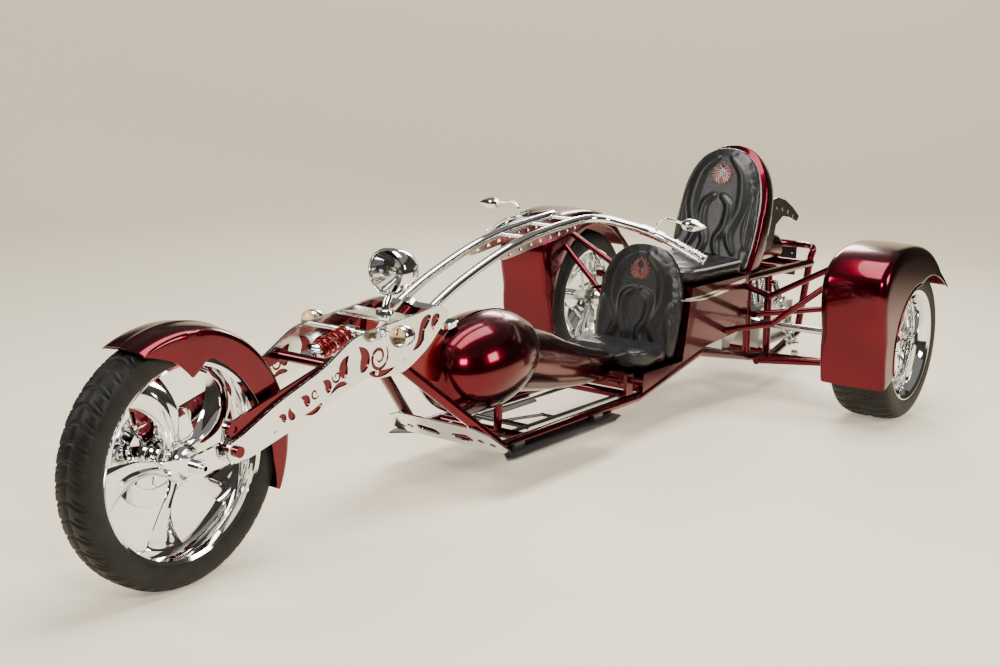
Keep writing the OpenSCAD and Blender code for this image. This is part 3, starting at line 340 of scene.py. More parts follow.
def tube(route, radius, sides=16):
    """A round tube along a route, with closed ends. Each ring stands square to it, without a twist."""
    route = np.asarray(route, dtype=float)
    heading_ = unit(np.gradient(route, axis=0))
    side = np.zeros_like(route)
    first = np.cross(heading_[0], (0, 0, 1) if abs(heading_[0][2]) < 0.9 else (0, 1, 0))
    side[0] = unit(first)
    for k in range(1, len(route)):
        side[k] = unit(side[k - 1] - heading_[k] * np.dot(side[k - 1], heading_[k]))
    over = np.cross(heading_, side)
    angle = np.linspace(0, 2 * math.pi, sides, endpoint=False)
    radius = np.broadcast_to(np.asarray(radius, dtype=float), (len(route),))[:, None, None]
    ring = np.cos(angle)[None, :, None] * side[:, None, :] + np.sin(angle)[None, :, None] * over[:, None, :]
    points = route[:, None, :] + radius * ring
    faces = [tuple(f) for f in quads_of(len(route), sides, wrap_columns=True)]
    return flip_if_inside_out(points, faces + ends_of(len(route), sides))


def rounded(piece, width, angle):
    """Rounds the edges of a piece that are sharper than that angle."""
    edge = piece.modifiers.new("edge", "BEVEL")
    edge.width, edge.segments = width, 2
    edge.limit_method, edge.angle_limit = "ANGLE", math.radians(angle)


def mirrored(shape):
    """The same shape on the other side of the centre plane."""
    points, faces = shape
    return np.asarray(points) * (1, -1, 1), [tuple(face)[::-1] for face in faces]


def both(*shapes):
    """Shapes and their mirror images."""
    return [each for shape in shapes for each in (shape, mirrored(shape))]


def settle(piece, body, slot, *replaced):
    """Puts a finished piece on its body in place of the CAD nodes that it stands for. The slot is not used.
    """
    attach(piece, body)
    if replaced:
        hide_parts(*replaced)
    return piece


tank_low, tank_high = corners("fuel_tank")
tank_tilt = math.radians(6)
tank_centre = (tank_low + tank_high) / 2
tank_half, tank_radius = 0.270, 0.171


def tilted(points, centre, tilt):
    """Points turned about a line along Y through the centre."""
    away = np.asarray(points) - centre
    return np.stack([away[..., 0] * math.cos(tilt) + away[..., 2] * math.sin(tilt), away[..., 1],
                     away[..., 2] * math.cos(tilt) - away[..., 0] * math.sin(tilt)], axis=-1) + centre


along = np.linspace(0, math.pi, 73)
egg = np.column_stack([tank_radius * np.clip(np.sin(along), 0, 1) ** 0.8 * (1 + 0.08 * np.cos(along)),
                       tank_half * np.cos(along)])
body = turned(egg, tank_centre, "x", 120, closed=False)
seam_angle = np.linspace(0.16, 2.75, 60)
seam_line = np.column_stack([tank_half * np.cos(seam_angle), 0 * seam_angle,
                             (tank_radius + 0.0005) * np.sin(seam_angle) ** 0.8
                             * (1 + 0.08 * np.cos(seam_angle))]) + tank_centre
tank = made("tank", [(tilted(body[0], tank_centre, tank_tilt), body[1])], burgundy, 60)
settle(tank, "frame", "candy_red", "fuel_tank")
seam_tube = tube(seam_line, 0.0035, 10)
seam = made("tank_seam", [(tilted(seam_tube[0], tank_centre, tank_tilt), seam_tube[1])], burgundy)
settle(seam, "frame", "candy_red")


# ---------------------------------------------------------------- spine
# A hammered steel spine runs from the tank down to the driver's seat, with a bright bead
# along both upper edges.
spine_low, spine_high = corners("body_spine")
stations = np.linspace(0, 1, 25)
spine_x = spine_high[0] - stations * (spine_high[0] - spine_low[0])
spine_top = np.interp(stations, (0, 0.28, 0.55, 0.8, 1), (0.520, 0.470, 0.402, 0.352, 0.322))
spine_bottom = np.interp(stations, (0, 0.35, 0.7, 1), (0.262, 0.232, 0.214, 0.212))
spine_half = np.interp(stations, (0, 0.4, 0.7, 1), (0.128, 0.102, 0.086, 0.078))
ring = np.linspace(0, 2 * math.pi, 48, endpoint=False)
power = np.interp(stations, (0, 0.5, 1), (1.0, 0.75, 0.55))[:, None]
cosine, sine = np.cos(ring)[None, :], np.sin(ring)[None, :]
spine_points = np.stack([np.tile(spine_x[:, None], (1, 48)),
                         spine_half[:, None] * np.sign(cosine) * np.abs(cosine) ** power,
                         ((spine_top + spine_bottom) / 2)[:, None]
                         + ((spine_top - spine_bottom) / 2)[:, None] * np.sign(sine) * np.abs(sine) ** power],
                         axis=-1)
spine_faces = [*quads_of(25, 48, wrap_columns=True), *ends_of(25, 48)]
spine = made("spine", [flip_if_inside_out(spine_points, spine_faces)], burgundy, 60)
settle(spine, "frame", "candy_red", "body_spine")
bead = tube(np.column_stack([spine_x[2:], spine_half[2:] * 0.62, spine_top[2:] - 0.013]), 0.0032, 10)
spine_bead = made("spine_bead", both(bead), polished)
settle(spine_bead, "frame", "polished")


# ---------------------------------------------------------------- tyres
# Rubber tyres: a rounded carcass with grooves moulded into the tread. A groove's depth is worked
# out from the angle round the wheel and the distance across it.
rubber, tree, shader = material("rubber", specular_ior_level=0.2)
place = add(tree, "TexCoord").outputs["Object"]
dust = add(tree, "TexNoise", [("Vector", place)], scale=22.0, detail=6.0)
shade = ramp(tree, dust.outputs["Fac"], [(0.3, (0.007, 0.007, 0.007)), (0.75, (0.018, 0.0175, 0.017))])
tree.links.new(shade, shader.inputs["Base Color"])
dull = add(tree, "MapRange", [("Value", dust.outputs["Fac"])], to_min=0.42, to_max=0.62)
tree.links.new(dull.outputs["Result"], shader.inputs["Roughness"])
pores = add(tree, "TexNoise", [("Vector", place)], scale=700.0, detail=3.0)
bump = add(tree, "Bump", [("Height", pores.outputs["Fac"])], strength=0.12, distance=0.0006)
tree.links.new(bump.outputs["Normal"], shader.inputs["Normal"])


def zigzag(a):
    """A triangle wave of height one and period one."""
    return np.abs((a % 1) * 2 - 1)


def tyre(name, axle, radius, width, bead_radius, foot, chevrons, ribs, steps):
    """A closed tyre: wall points run bead, shoulder, crown, and the outer ones sink where a groove passes."""
    t = np.linspace(0, 1, 9)
    wide = bead_radius + 0.02 + 0.3 * (radius - bead_radius - 0.02)
    wall = np.column_stack([wide - (wide - bead_radius - 0.004) * np.cos(t * math.pi / 2),
                            foot + (width / 2 - foot) * np.sin(t * math.pi / 2)])
    t = np.linspace(0, 1, 33)[1:] * math.pi / 2
    crown = np.column_stack([wide + (radius - wide) * np.sin(t) ** 0.72,
                             width / 2 * np.maximum(np.cos(t), 0) ** 0.62])
    half = np.vstack([[[bead_radius, foot - 0.006]], wall, crown])
    whole = np.vstack([half, half[-2::-1] * (1, -1)])
    angle = np.linspace(0, 2 * math.pi, steps, endpoint=False)[:, None]
    across = whole[None, :, 1] / (width / 2)
    tread = np.clip((whole[None, :, 0] - wide) / (radius - wide) * 1.5 - 0.32, 0, 1)
    lean = angle / (2 * math.pi) * chevrons + 0.55 * np.abs(across) ** 0.8
    off_centre = np.abs(across)
    groove = np.clip((0.13 - np.abs((lean % 1) - 0.5)) * 14, 0, 1)
    groove = groove * (off_centre > 0.10) * (off_centre < 0.93)
    second = np.clip((0.10 - np.abs(((lean + 0.5 + 0.25 * across) % 1) - 0.5)) * 14, 0, 1)
    second = second * (off_centre > 0.42) * (off_centre < 0.88)
    wander = 0.02 * zigzag(angle / (2 * math.pi) * chevrons)
    rib = sum(np.clip((0.035 - np.abs(off_centre - place_ + wander)) * 60, 0, 1) for place_ in ribs)
    sunk = 0.0045 * np.clip(np.maximum(np.maximum(groove, second * 0.8), rib), 0, 1) * tread
    reach = whole[None, :, 0] - sunk
    points = np.stack([reach * np.cos(angle), np.broadcast_to(whole[None, :, 1], reach.shape),
                       reach * np.sin(angle)], axis=-1) + axle
    faces = quads_of(steps, len(whole), wrap_rows=True, wrap_columns=True)
    return made(name, [flip_if_inside_out(points, faces)], rubber, 38)


tyre_size = {"front_tyre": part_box("front_tyre"), "left_tyre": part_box("left_tyre")}
front_width = tyre_size["front_tyre"][1][1] - tyre_size["front_tyre"][0][1]
front_radius = front_axle[2] - tyre_size["front_tyre"][0][2]
rear_width = tyre_size["left_tyre"][1][1] - tyre_size["left_tyre"][0][1]
rear_radius = left_axle[2] - tyre_size["left_tyre"][0][2]
front_bead, rear_bead = 0.267, 0.216
front_rubber = tyre("front_rubber", front_axle, front_radius, front_width, front_bead, 0.0495, 44, (0.0,),
                    880)
settle(front_rubber, "front_wheel", "tyre", "front_tyre")
for side_name, sign in (("left", 1), ("right", -1)):
    rear_rubber = tyre(side_name + "_rubber", left_axle * (1, sign, 1), rear_radius, rear_width, rear_bead,
                       0.1135, 38, (0.0, 0.34), 760)
    settle(rear_rubber, side_name + "_wheel", "tyre", side_name + "_tyre")


# ---------------------------------------------------------------- wheels
# Billet wheels, chromed. The front one has five broad petals twisted out of the rim to a barrel
# hub; the rear ones have ten pairs of thin spokes behind a deep lip. Each wheel is one piece.
def rim_profile(radius, half, well, lip=0.017):
    """A rim's cross-section: two lips, bead seats, the well, and the smooth inner face back."""
    r, h = radius, half
    outside = [(r + lip, h + 0.0066), (r + lip + 0.0006, h + 0.004), (r + lip, h + 0.0014), (r + 0.004, h),
               (r, h - 0.005), (r, h - 0.020), (r - well, h - 0.034), (r - well, -h + 0.034), (r, -h + 0.020),
               (r, -h + 0.005), (r + 0.004, -h), (r + lip, -h - 0.0014), (r + lip + 0.0006, -h - 0.004),
               (r + lip, -h - 0.0066)]
    inside = [(r + lip - 0.005, -h - 0.0068), (r + lip - 0.010, -h - 0.004), (r - 0.004, -h + 0.001),
              (r - 0.010, -h + 0.012), (r - well - 0.008, -h + 0.036), (r - well - 0.008, h - 0.036),
              (r - 0.010, h - 0.012), (r - 0.004, h - 0.001), (r + lip - 0.010, h + 0.004),
              (r + lip - 0.005, h + 0.0068)]
    return outside + inside


def spun(shape, axle, step):
    """A shape turned about a line along Y through the axle, by an angle."""
    points, faces = shape
    away = np.asarray(points).reshape(-1, 3) - axle
    c, s = math.cos(step), math.sin(step)
    return np.column_stack([away[:, 0] * c + away[:, 2] * s, away[:, 1],
                            away[:, 2] * c - away[:, 0] * s]) + axle, faces


def petal(axle, inner, outer, reach, across, thick, sweep_):
    """A blade from hub to rim: it bends by sweep, widens to the rim, and has a ridge along it."""
    u = np.linspace(0, 1, 29)[:, None]
    v = np.linspace(-1, 1, 17)[None, :]
    span = inner + (outer - inner) * u
    bend = sweep_ * np.sin(u * math.pi * 0.9)
    half = across * (0.30 + 0.95 * u ** 1.6 + 0.34 * np.exp(-((u - 0.02) / 0.10) ** 2))
    out = half * v + bend
    belly = reach * (1 - u ** 1.4) + 0.010 * np.sin(u * math.pi)
    ridge = 0.008 * np.exp(-(v / 0.16) ** 2) * np.sin(np.clip(u * 1.1, 0, 1) * math.pi)
    lift = thick * np.sqrt(np.maximum(1 - 0.92 * v ** 2, 0.0)) + ridge + 0.012 * v * np.sin(u * math.pi)
    front = np.stack([span * np.cos(out / span), belly * 0.6 + lift, span * np.sin(out / span)], axis=-1)
    back = np.stack([span * np.cos(out / span),
                     belly * 0.6 - 0.65 * thick * np.sqrt(np.maximum(1 - 0.92 * v ** 2, 0.0))
                     + 0.012 * v * np.sin(u * math.pi),
                     span * np.sin(out / span)], axis=-1)
    loop = np.concatenate([front, back[:, ::-1]], axis=1) + axle
    rows, columns = loop.shape[:2]
    return flip_if_inside_out(loop, [*quads_of(rows, columns, wrap_columns=True), *ends_of(rows, columns)])


front_shapes = [turned(rim_profile(front_bead, 0.050, 0.014), front_axle, steps=160)]
for k in range(5):
    front_shapes.append(spun(petal(front_axle, 0.040, 0.249, 0.030, 0.054, 0.009, 0.034), front_axle,
                             2 * math.pi * (k + 0.18) / 5))
hub = [(0.0126, -0.060), (0.036, -0.060), (0.038, -0.058), (0.038, -0.048), (0.046, -0.044), (0.052, -0.040),
       (0.052, -0.030), (0.040, -0.024), (0.036, -0.018), (0.036, 0.016), (0.042, 0.024), (0.050, 0.030),
       (0.053, 0.038), (0.050, 0.044), (0.040, 0.049), (0.036, 0.056), (0.033, 0.060), (0.0126, 0.060)]
front_shapes.append(turned(hub, front_axle, steps=96))
for k in range(10):
    window = tube(np.array([[0.0515, 0.029, 0], [0.0515, 0.0415, 0]]) + front_axle, 0.0052, 12)
    front_shapes.append(spun(window, front_axle, 2 * math.pi * k / 10))
disc = [(0.095, 0.0708), (0.144, 0.0708), (0.1455, 0.0722), (0.1455, 0.0736), (0.144, 0.0748),
        (0.095, 0.0748), (0.0935, 0.0736), (0.0935, 0.0722)]
carrier = [(0.040, 0.056), (0.058, 0.060), (0.060, 0.071), (0.054, 0.0745), (0.040, 0.0745)]
front_shapes += [turned([(r, -y) for r, y in disc], front_axle, steps=128),
                 turned([(r, -y) for r, y in carrier], front_axle, steps=64)]
for k in range(8):
    arm = tube(np.array([[0.056, -0.0728, 0], [0.076, -0.0728, 0.006], [0.098, -0.0728, 0]]) + front_axle,
               0.0052, 10)
    front_shapes.append(spun(arm, front_axle, 2 * math.pi * k / 8))
front_billet = made("front_billet", front_shapes, chrome, 34)
settle(front_billet, "front_wheel", "chrome", "front_rim")


def rear_spoke(axle, lean):
    """A thin spoke: a rounded bar that starts at the hub, flares at the rim and leans to one side."""
    u = np.linspace(0, 1, 15)
    line = np.column_stack([0.046 + (0.201 - 0.046) * u, 0.046 - 0.020 * u + 0.010 * np.sin(u * math.pi),
                            lean * (0.25 + 0.75 * u ** 1.3)])
    return tube(line + axle, 0.0065 + 0.0042 * u ** 4 + 0.004 * (1 - u) ** 3, 12)


for side_name, sign in (("left", 1), ("right", -1)):
    shapes = [turned(rim_profile(rear_bead, 0.114, 0.012), left_axle, steps=144)]
    step_ring = [(0.207, 0.060), (0.207, 0.030), (0.199, 0.030), (0.196, 0.036), (0.196, 0.054),
                 (0.199, 0.060)]
    shapes.append(turned(step_ring, left_axle, steps=144))
    for k in range(10):
        for lean in (-0.017, 0.017):
            shapes.append(spun(rear_spoke(left_axle, lean), left_axle, 2 * math.pi * k / 10))
    bell = [(0.0251, -0.020), (0.064, -0.020), (0.065, -0.018), (0.065, 0.040), (0.060, 0.050),
            (0.046, 0.058), (0.044, 0.059), (0.040, 0.059), (0.0251, 0.060)]
    shapes.append(turned(bell, left_axle, steps=96))
    cap = [(0.0, 0.070), (0.014, 0.0695), (0.024, 0.067), (0.031, 0.0635), (0.031, 0.060), (0.0, 0.060)]
    shapes.append(turned(cap, left_axle, steps=64, closed=False))
    for k in range(5):
        nut = tube(np.array([[0.0455, 0.050, 0], [0.0455, 0.066, 0]]) + left_axle, 0.0075, 6)
        shapes.append(spun(nut, left_axle, 2 * math.pi * (k + 0.5) / 5))
    if sign < 0:
        shapes = [mirrored(shape) for shape in shapes]
    settle(made(side_name + "_billet", shapes, chrome, 34), side_name + "_wheel", "chrome",
           side_name + "_rim")


# ---------------------------------------------------------------- fork plates
# Each fork leg is a sandwich: a red steel plate between two polished ones, which are cut through
# in scrolls and leaves so that the red shows. Round eyes and cap nuts finish the pivots.
def inside(outline, points):
    """Which points lie inside a closed outline, by counting crossings of its edges."""
    start, end = np.asarray(outline), np.roll(outline, -1, axis=0)
    x, z = points[:, None, 0], points[:, None, 1]
    spans = (start[:, 1] > z) != (end[:, 1] > z)
    rise = np.where(end[:, 1] == start[:, 1], 1.0, end[:, 1] - start[:, 1])
    crossing = start[:, 0] + (z - start[:, 1]) * (end[:, 0] - start[:, 0]) / rise
    return (spans & (x < crossing)).sum(axis=1) % 2 == 1


def flat_plate(outlines, thick, low_y):
    """The first outline in the X-Z plane as a sheet, with the others cut out of it."""
    points = [Vector(point) for outline in outlines for point in outline]
    edges, start = [], 0
    for outline in outlines:
        edges += [(start + k, start + (k + 1) % len(outline)) for k in range(len(outline))]
        start += len(outline)
    cut = delaunay_2d_cdt(points, edges, [], 1, 1e-6)
    flat, triangles = np.array([tuple(point) for point in cut[0]]), np.array(cut[2])
    middle = flat[triangles].mean(axis=1)
    kept = inside(outlines[0], middle)
    for hole in outlines[1:]:
        kept &= ~inside(hole, middle)
    triangles = triangles[kept]
    sides = np.concatenate([triangles[:, [0, 1]], triangles[:, [1, 2]], triangles[:, [2, 0]]])
    twins = {tuple(pair) for pair in sides.tolist()}
    open_sides = [pair for pair in sides.tolist() if (pair[1], pair[0]) not in twins]
    count = len(flat)
    solid = np.vstack([np.column_stack([flat[:, 0], np.full(count, y), flat[:, 1]])
                       for y in (low_y, low_y + thick)])
    faces = [tuple(t) for t in triangles.tolist()]
    faces += [tuple(k + count for k in face[::-1]) for face in faces]
    faces += [(b, a, a + count, b + count) for a, b in open_sides]
    return flip_if_inside_out(solid, faces)


def stroke(line, widths):
    """A closed outline round a line whose half width changes along it, to a point at each end."""
    line = np.asarray(line, dtype=float)
    heading_ = unit(np.gradient(line, axis=0))
    side = np.column_stack([-heading_[:, 1], heading_[:, 0]]) * np.asarray(widths)[:, None]
    return np.vstack([line[:1], (line + side)[1:-1], line[-1:], (line - side)[-2:0:-1]])


def scroll(centre, radius, turns, start, width, hand=1):
    """A spiral stroke: the radius shrinks evenly with the angle and the stroke thins towards the eye."""
    t = np.linspace(0, 1, 60)
    angle = start + hand * t * turns * 2 * math.pi
    r = radius * (1 - 0.86 * t)
    line = np.column_stack([centre[0] + r * np.cos(angle), centre[1] + r * np.sin(angle)])
    return stroke(line, width * np.sin(np.clip(t * 1.06 + 0.02, 0, 1) * math.pi) ** 0.5 * (1 - 0.45 * t))


def leaf(root, tip, bow, width):
    """A curved leaf from root to tip: it bows to one side and is widest a third of the way along."""
    root, tip = np.asarray(root, dtype=float), np.asarray(tip, dtype=float)
    t = np.linspace(0, 1, 22)
    off = np.array([-(tip - root)[1], (tip - root)[0]]) * bow
    line = root + (tip - root) * t[:, None] + off * np.sin(t * math.pi)[:, None]
    return stroke(line, width * np.sin(t ** 0.7 * math.pi) ** 0.8)


pivot = front_axle[[0, 2]] + (-0.114, 0.023)
upper_eye = pivot + (-0.004, 0.057)
cross_tube = pivot + (-0.391, 0.170)
head = neck[[0, 2]]
shock_top = head + (0.185, 0.030)
plate_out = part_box("fork_plates")[1][1]
plate_in = plate_out - 0.012
eye_turn = np.linspace(math.radians(58), math.radians(-118), 19)
# The leg's two edges, ahead of the head and up from it, and the stretches round its pivot.
lower_edge = np.array([(-0.132, 0.046), (-0.095, 0.018), (-0.040, -0.030), (0.020, -0.066), (0.080, -0.092),
                       (0.135, -0.096), (0.210, -0.0955), (0.278, -0.089), (0.530, -0.167), (0.666, -0.205)])
upper_edge = np.array([(-0.137, 0.067), (-0.113, 0.083), (-0.065, 0.088), (0.059, 0.073), (0.187, 0.0595),
                       (0.262, 0.0515), (0.330, 0.0355), (0.437, -0.0225), (0.530, -0.058), (0.631, -0.095),
                       (0.726, -0.1395)])
below_pivot = pivot + [(-0.045, -0.028), (-0.120, -0.008), (-0.256, 0.030)]
over_pivot = pivot + [(-0.349, 0.1745), (-0.256, 0.139), (-0.155, 0.102), (-0.060, 0.0575), (-0.018, 0.038)]
fork_outline = np.vstack([
    pivot + 0.0322 * np.column_stack([np.cos(eye_turn), np.sin(eye_turn)]),
    spline(np.vstack([below_pivot, head + lower_edge[7:5:-1]]), 5),
    spline(head + lower_edge[5::-1], 5),
    spline(np.vstack([head + upper_edge[:7], over_pivot]), 5)])


def on_leg(ahead, up):
    """A point on the leg: a distance ahead of the head, and -1 to 1 from its lower edge to its upper one."""
    low, high = np.interp(ahead, *lower_edge.T), np.interp(ahead, *upper_edge.T)
    return head + (ahead, (low + high) / 2 + up * (high - low) / 2)


def ring_of(centre, radius):
    """The points of a circle."""
    circle = np.linspace(0, 2 * math.pi, 40, endpoint=False)
    return np.asarray(centre) + radius * np.column_stack([np.cos(circle), np.sin(circle)])


leaves = [((0.250, -0.72), (0.125, -0.70), 0.08, 0.0055), ((0.285, -0.62), (0.298, 0.60), 0.30, 0.0150),
          ((0.352, -0.36), (0.340, 0.52), -0.26, 0.0100), ((0.345, -0.66), (0.420, -0.62), 0.16, 0.0042),
          ((0.428, -0.42), (0.452, 0.42), 0.26, 0.0075), ((0.452, -0.68), (0.525, -0.64), -0.12, 0.0042),
          ((0.514, -0.34), (0.542, 0.44), 0.26, 0.0066), ((0.562, -0.44), (0.586, 0.34), -0.24, 0.0058),
          ((0.604, -0.32), (0.630, 0.26), 0.26, 0.0050), ((-0.088, 0.30), (-0.058, -0.50), 0.26, 0.0085),
          ((-0.044, 0.62), (-0.010, -0.48), 0.28, 0.0088), ((0.004, 0.46), (0.044, -0.46), -0.22, 0.0080)]
cuts = [leaf(on_leg(*root), on_leg(*tip), bow, min(2 * width, 0.022)) for root, tip, bow, width in leaves]
cuts += [scroll(on_leg(0.205, -0.14), 0.044, 1.7, 2.4, 0.0072),
         scroll(on_leg(0.392, 0.06), 0.020, 1.3, 0.4, 0.0048, -1),
         scroll(on_leg(0.484, 0.08), 0.017, 1.2, 3.4, 0.0042), ring_of(on_leg(0.062, 0.42), 0.008)]
fork_shapes, red_shapes = [], []
for low_y, thick in ((plate_out - 0.0042, 0.0042), (plate_in, 0.0032)):
    fork_shapes += both(flat_plate([fork_outline] + cuts, thick, low_y))
red_outline = fork_outline + (np.mean(fork_outline, axis=0) - fork_outline) * 0.006
red_shapes += both(flat_plate([red_outline], 0.0040, plate_in + 0.0036))
leg_plates = made("leg_plates", fork_shapes, polished, 30)
rounded(leg_plates, 0.0007, 60)
settle(leg_plates, "steering", "polished", "fork_plates")
settle(made("leg_backing", red_shapes, burgundy, 30), "steering", "candy_red")


def cap_nut(x, z, y, radius, height):
    """A domed nut on a washer, standing out along Y: a washer, six flats drawn round, and a dome."""
    t = np.linspace(0, math.pi / 2, 8)
    profile = [(0.0, y), (radius * 1.35, y), (radius * 1.4, y + 0.0008), (radius * 1.35, y + 0.0018),
               (radius * 1.08, y + 0.0020), (radius * 1.08, y + height * 0.5)]
    profile += [(radius * 0.86 * math.cos(a), y + height * 0.5 + (height * 0.5) * math.sin(a)) for a in t]
    return turned(profile, (x, 0, z), steps=24, closed=False)


nuts = []
for place_, radius, height in ((pivot, 0.011, 0.010), (shock_top, 0.011, 0.008),
                               (head + (0.215, -0.075), 0.006, 0.006), (on_leg(0.080, -0.60), 0.005, 0.005),
                               (on_leg(0.640, -0.55), 0.0045, 0.005)):
    nuts += both(cap_nut(place_[0], place_[1], plate_out + 0.0002, radius, height))
settle(made("leg_nuts", nuts, chrome, 35), "steering", "chrome")


# ---------------------------------------------------------------- rear fenders
# Pressed steel fenders wrap each rear wheel: a broad rounded crown, a deep outer skirt with a
# round wheel opening, a shallow inner one, and a flared tail. Painted like the frame.
spindle = left_axle[[0, 2]]
fender_low, fender_high = corners("left_fender")
crown_points = spline(np.array([(0.3445, -0.136), (0.384, 0.054), (0.4165, 0.200), (0.4165, 0.284),
                                (0.390, 0.338), (0.332, 0.382), (0.242, 0.4105), (0.118, 0.4225),
                                (0.0, 0.4155), (-0.110, 0.3895), (-0.205, 0.3425), (-0.275, 0.2825),
                                (-0.330, 0.2190)]), 8)
crown_angle = np.unwrap(np.arctan2(crown_points[:, 1], crown_points[:, 0]))
crown_reach = np.linalg.norm(crown_points, axis=1)
opening = rear_bead + 0.042
tail_start, tail_end = math.radians(92), crown_angle[-1]
outer_end = np.where(crown_angle < tail_start, opening,
                     np.interp(crown_angle, (tail_start, tail_end), (opening, crown_reach[-1] - 0.016)))
inner_end = np.minimum(crown_reach - 0.022, rear_radius + 0.026)
corner_r = 0.042
flare = 0.010 * np.clip((crown_angle - math.radians(118)) / math.radians(28), 0, 1) ** 2
bend = np.linspace(0, math.pi / 2, 9)
low_y, high_y = fender_low[1] + 0.001, fender_high[1] - 0.011


def fender_row(k):
    """One rib of the fender at station k: up the inner lip, over the crown and down the outer skirt."""
    reach, stop_in, stop_out = crown_reach[k], inner_end[k], outer_end[k]
    r = min(corner_r, (reach - stop_in) * 0.9, (reach - stop_out) * 0.9)
    inner = np.column_stack([stop_in + (reach - r - stop_in) * np.linspace(0, 1, 4)[:-1], np.full(3, low_y)])
    turn_in = np.column_stack([reach - r + r * np.sin(bend), low_y + r - r * np.cos(bend)])
    width = np.linspace(0, 1, 9)[1:-1]
    flat = np.column_stack([reach + 0.0025 * np.sin(width * math.pi),
                            low_y + r + (high_y - low_y - 2 * r) * width])
    turn_out = np.column_stack([reach - r + r * np.cos(bend), high_y - r + r * np.sin(bend)])
    outer = np.column_stack([reach - r + (stop_out - reach + r) * np.linspace(0, 1, 10)[1:],
                             np.full(9, high_y)])
    row = np.vstack([inner, turn_in, flat, turn_out, outer])
    row[:, 1] += flare[k] * np.clip((row[:, 1] - low_y) / (high_y - low_y), 0, 1)
    direction = np.array([math.cos(crown_angle[k]), math.sin(crown_angle[k])])
    return np.column_stack([spindle[0] + row[:, 0] * direction[0], row[:, 1],
                            spindle[1] + row[:, 0] * direction[1]])


def walled(piece, thickness, bevel):
    """Gives an open sheet a wall inside its outer face, then rounds its edges."""
    wall = piece.modifiers.new("wall", "SOLIDIFY")
    wall.thickness = thickness
    wall.offset = -1
    wall.use_even_offset = True
    rounded(piece, bevel, 50)
    return piece


rows = np.stack([fender_row(k) for k in range(len(crown_points))])
fender_faces = [tuple(f) for f in quads_of(*rows.shape[:2])]
for side_name, sign in (("left", 1), ("right", -1)):
    sheet = (rows.reshape(-1, 3) * (1, sign, 1), [f if sign < 0 else f[::-1] for f in fender_faces])
    shell = walled(made(side_name + "_fender_shell", [sheet], burgundy, 50), 0.0045, 0.0015)
    settle(shell, "frame", "candy_red", side_name + "_fender")
    lip_line = np.column_stack([spindle[0] + opening * np.cos(np.radians(np.linspace(-20, 90, 60))),
                                np.full(60, sign * high_y),
                                spindle[1] + opening * np.sin(np.radians(np.linspace(-20, 90, 60)))])
    settle(made(side_name + "_fender_bead", [tube(lip_line, 0.0042, 10)], burgundy), "frame", "candy_red")


# ---------------------------------------------------------------- front fender
# A thin blade of a fender hugs the front tyre: a crease runs along its crown and a pointed flap
# hangs from each side ahead of the axle.
blade_reach = front_radius + 0.0185
blade_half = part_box("front_fender")[1][1] - 0.0063
blade_angle = np.radians(np.linspace(62.4, 203.6, 121))
degrees = np.degrees(blade_angle)
hem = np.interp(degrees, (62, 66, 72, 78, 84, 90, 95, 99, 103, 112, 125, 140, 165, 190, 204),
                (0.358, 0.340, 0.315, 0.292, 0.262, 0.235, 0.252, 0.275, 0.288, 0.280, 0.272, 0.268, 0.272,
                 0.304, 0.342))
side_t = np.linspace(0, 1, 9)
arch = np.linspace(-1, 1, 25)
crease = 0.0045 * (1 - np.abs(arch) ** 0.9) + 0.0028 * np.exp(-(arch / 0.07) ** 2)
crown_row = np.column_stack([blade_reach - 0.012 * np.abs(arch) ** 5 + crease, blade_half * arch * 0.985])
blade_rows = []
for angle, stop in zip(blade_angle, hem):
    top = blade_reach - 0.012
    skirt = np.column_stack([stop + (top - stop) * side_t[:-1], np.full(8, -blade_half)])
    row = np.vstack([skirt, crown_row, (skirt * (1, -1))[::-1]])
    blade_rows.append(np.column_stack([front_axle[0] + row[:, 0] * math.cos(angle), row[:, 1],
                                       front_axle[2] + row[:, 0] * math.sin(angle)]))
blade_rows = np.stack(blade_rows)
blade_faces = [tuple(f)[::-1] for f in quads_of(*blade_rows.shape[:2])]
blade = walled(made("front_blade", [(blade_rows, blade_faces)], burgundy, 50), 0.0032, 0.001)
settle(blade, "steering", "candy_red", "front_fender")
stay_line = spline([pivot + (0.012, 0.000), pivot + (-0.09, 0.045), front_axle[[0, 2]] + (-0.290, 0.118)], 10)
stay = flat_plate([stroke(stay_line, np.full(len(stay_line), 0.017))], 0.0056, blade_half + 0.0004)
settle(made("front_blade_stays", both(stay), burgundy), "steering", "candy_red")


# ---------------------------------------------------------------- seat shell
# A glass-fibre hump behind the passenger's backrest, moulded in one with a rounded rim
# and painted to match.
shell_low, shell_high = corners("seat_shell")
back_low, back_high = corners("passenger_backrest")
passenger_lean = math.radians(17)
seat_half = back_high[1]
up_back = np.array([-math.sin(passenger_lean), 0, math.cos(passenger_lean)])
behind = np.array([-math.cos(passenger_lean), 0, -math.sin(passenger_lean)])


def back_half_width(share):
    """Half the width of a backrest at a share of its height: straight low down, then round over the top."""
    share = np.asarray(share, dtype=float)
    low_part = np.interp(share, (-0.2, 0.0, 0.16, 0.34, 0.5), (0.90, 0.92, 0.98, 1.0, 0.995))
    top_part = 0.985 * np.sqrt(np.clip(1 - np.clip((share - 0.5) / 0.5, 0, 1) ** 2, 0, 1)) ** 0.86
    return np.where(share < 0.5, low_part, top_part)


def back_rim(height, half, count):
    """Points round the rim of a backrest from one lower corner over the top to the other: (across, up)."""
    t = np.linspace(0, 1, count)
    share = 1 - np.abs(1 - 2 * t) ** 1.9
    width = back_half_width(share) * half * np.sign(0.5 - t)
    return np.column_stack([width, share * height])


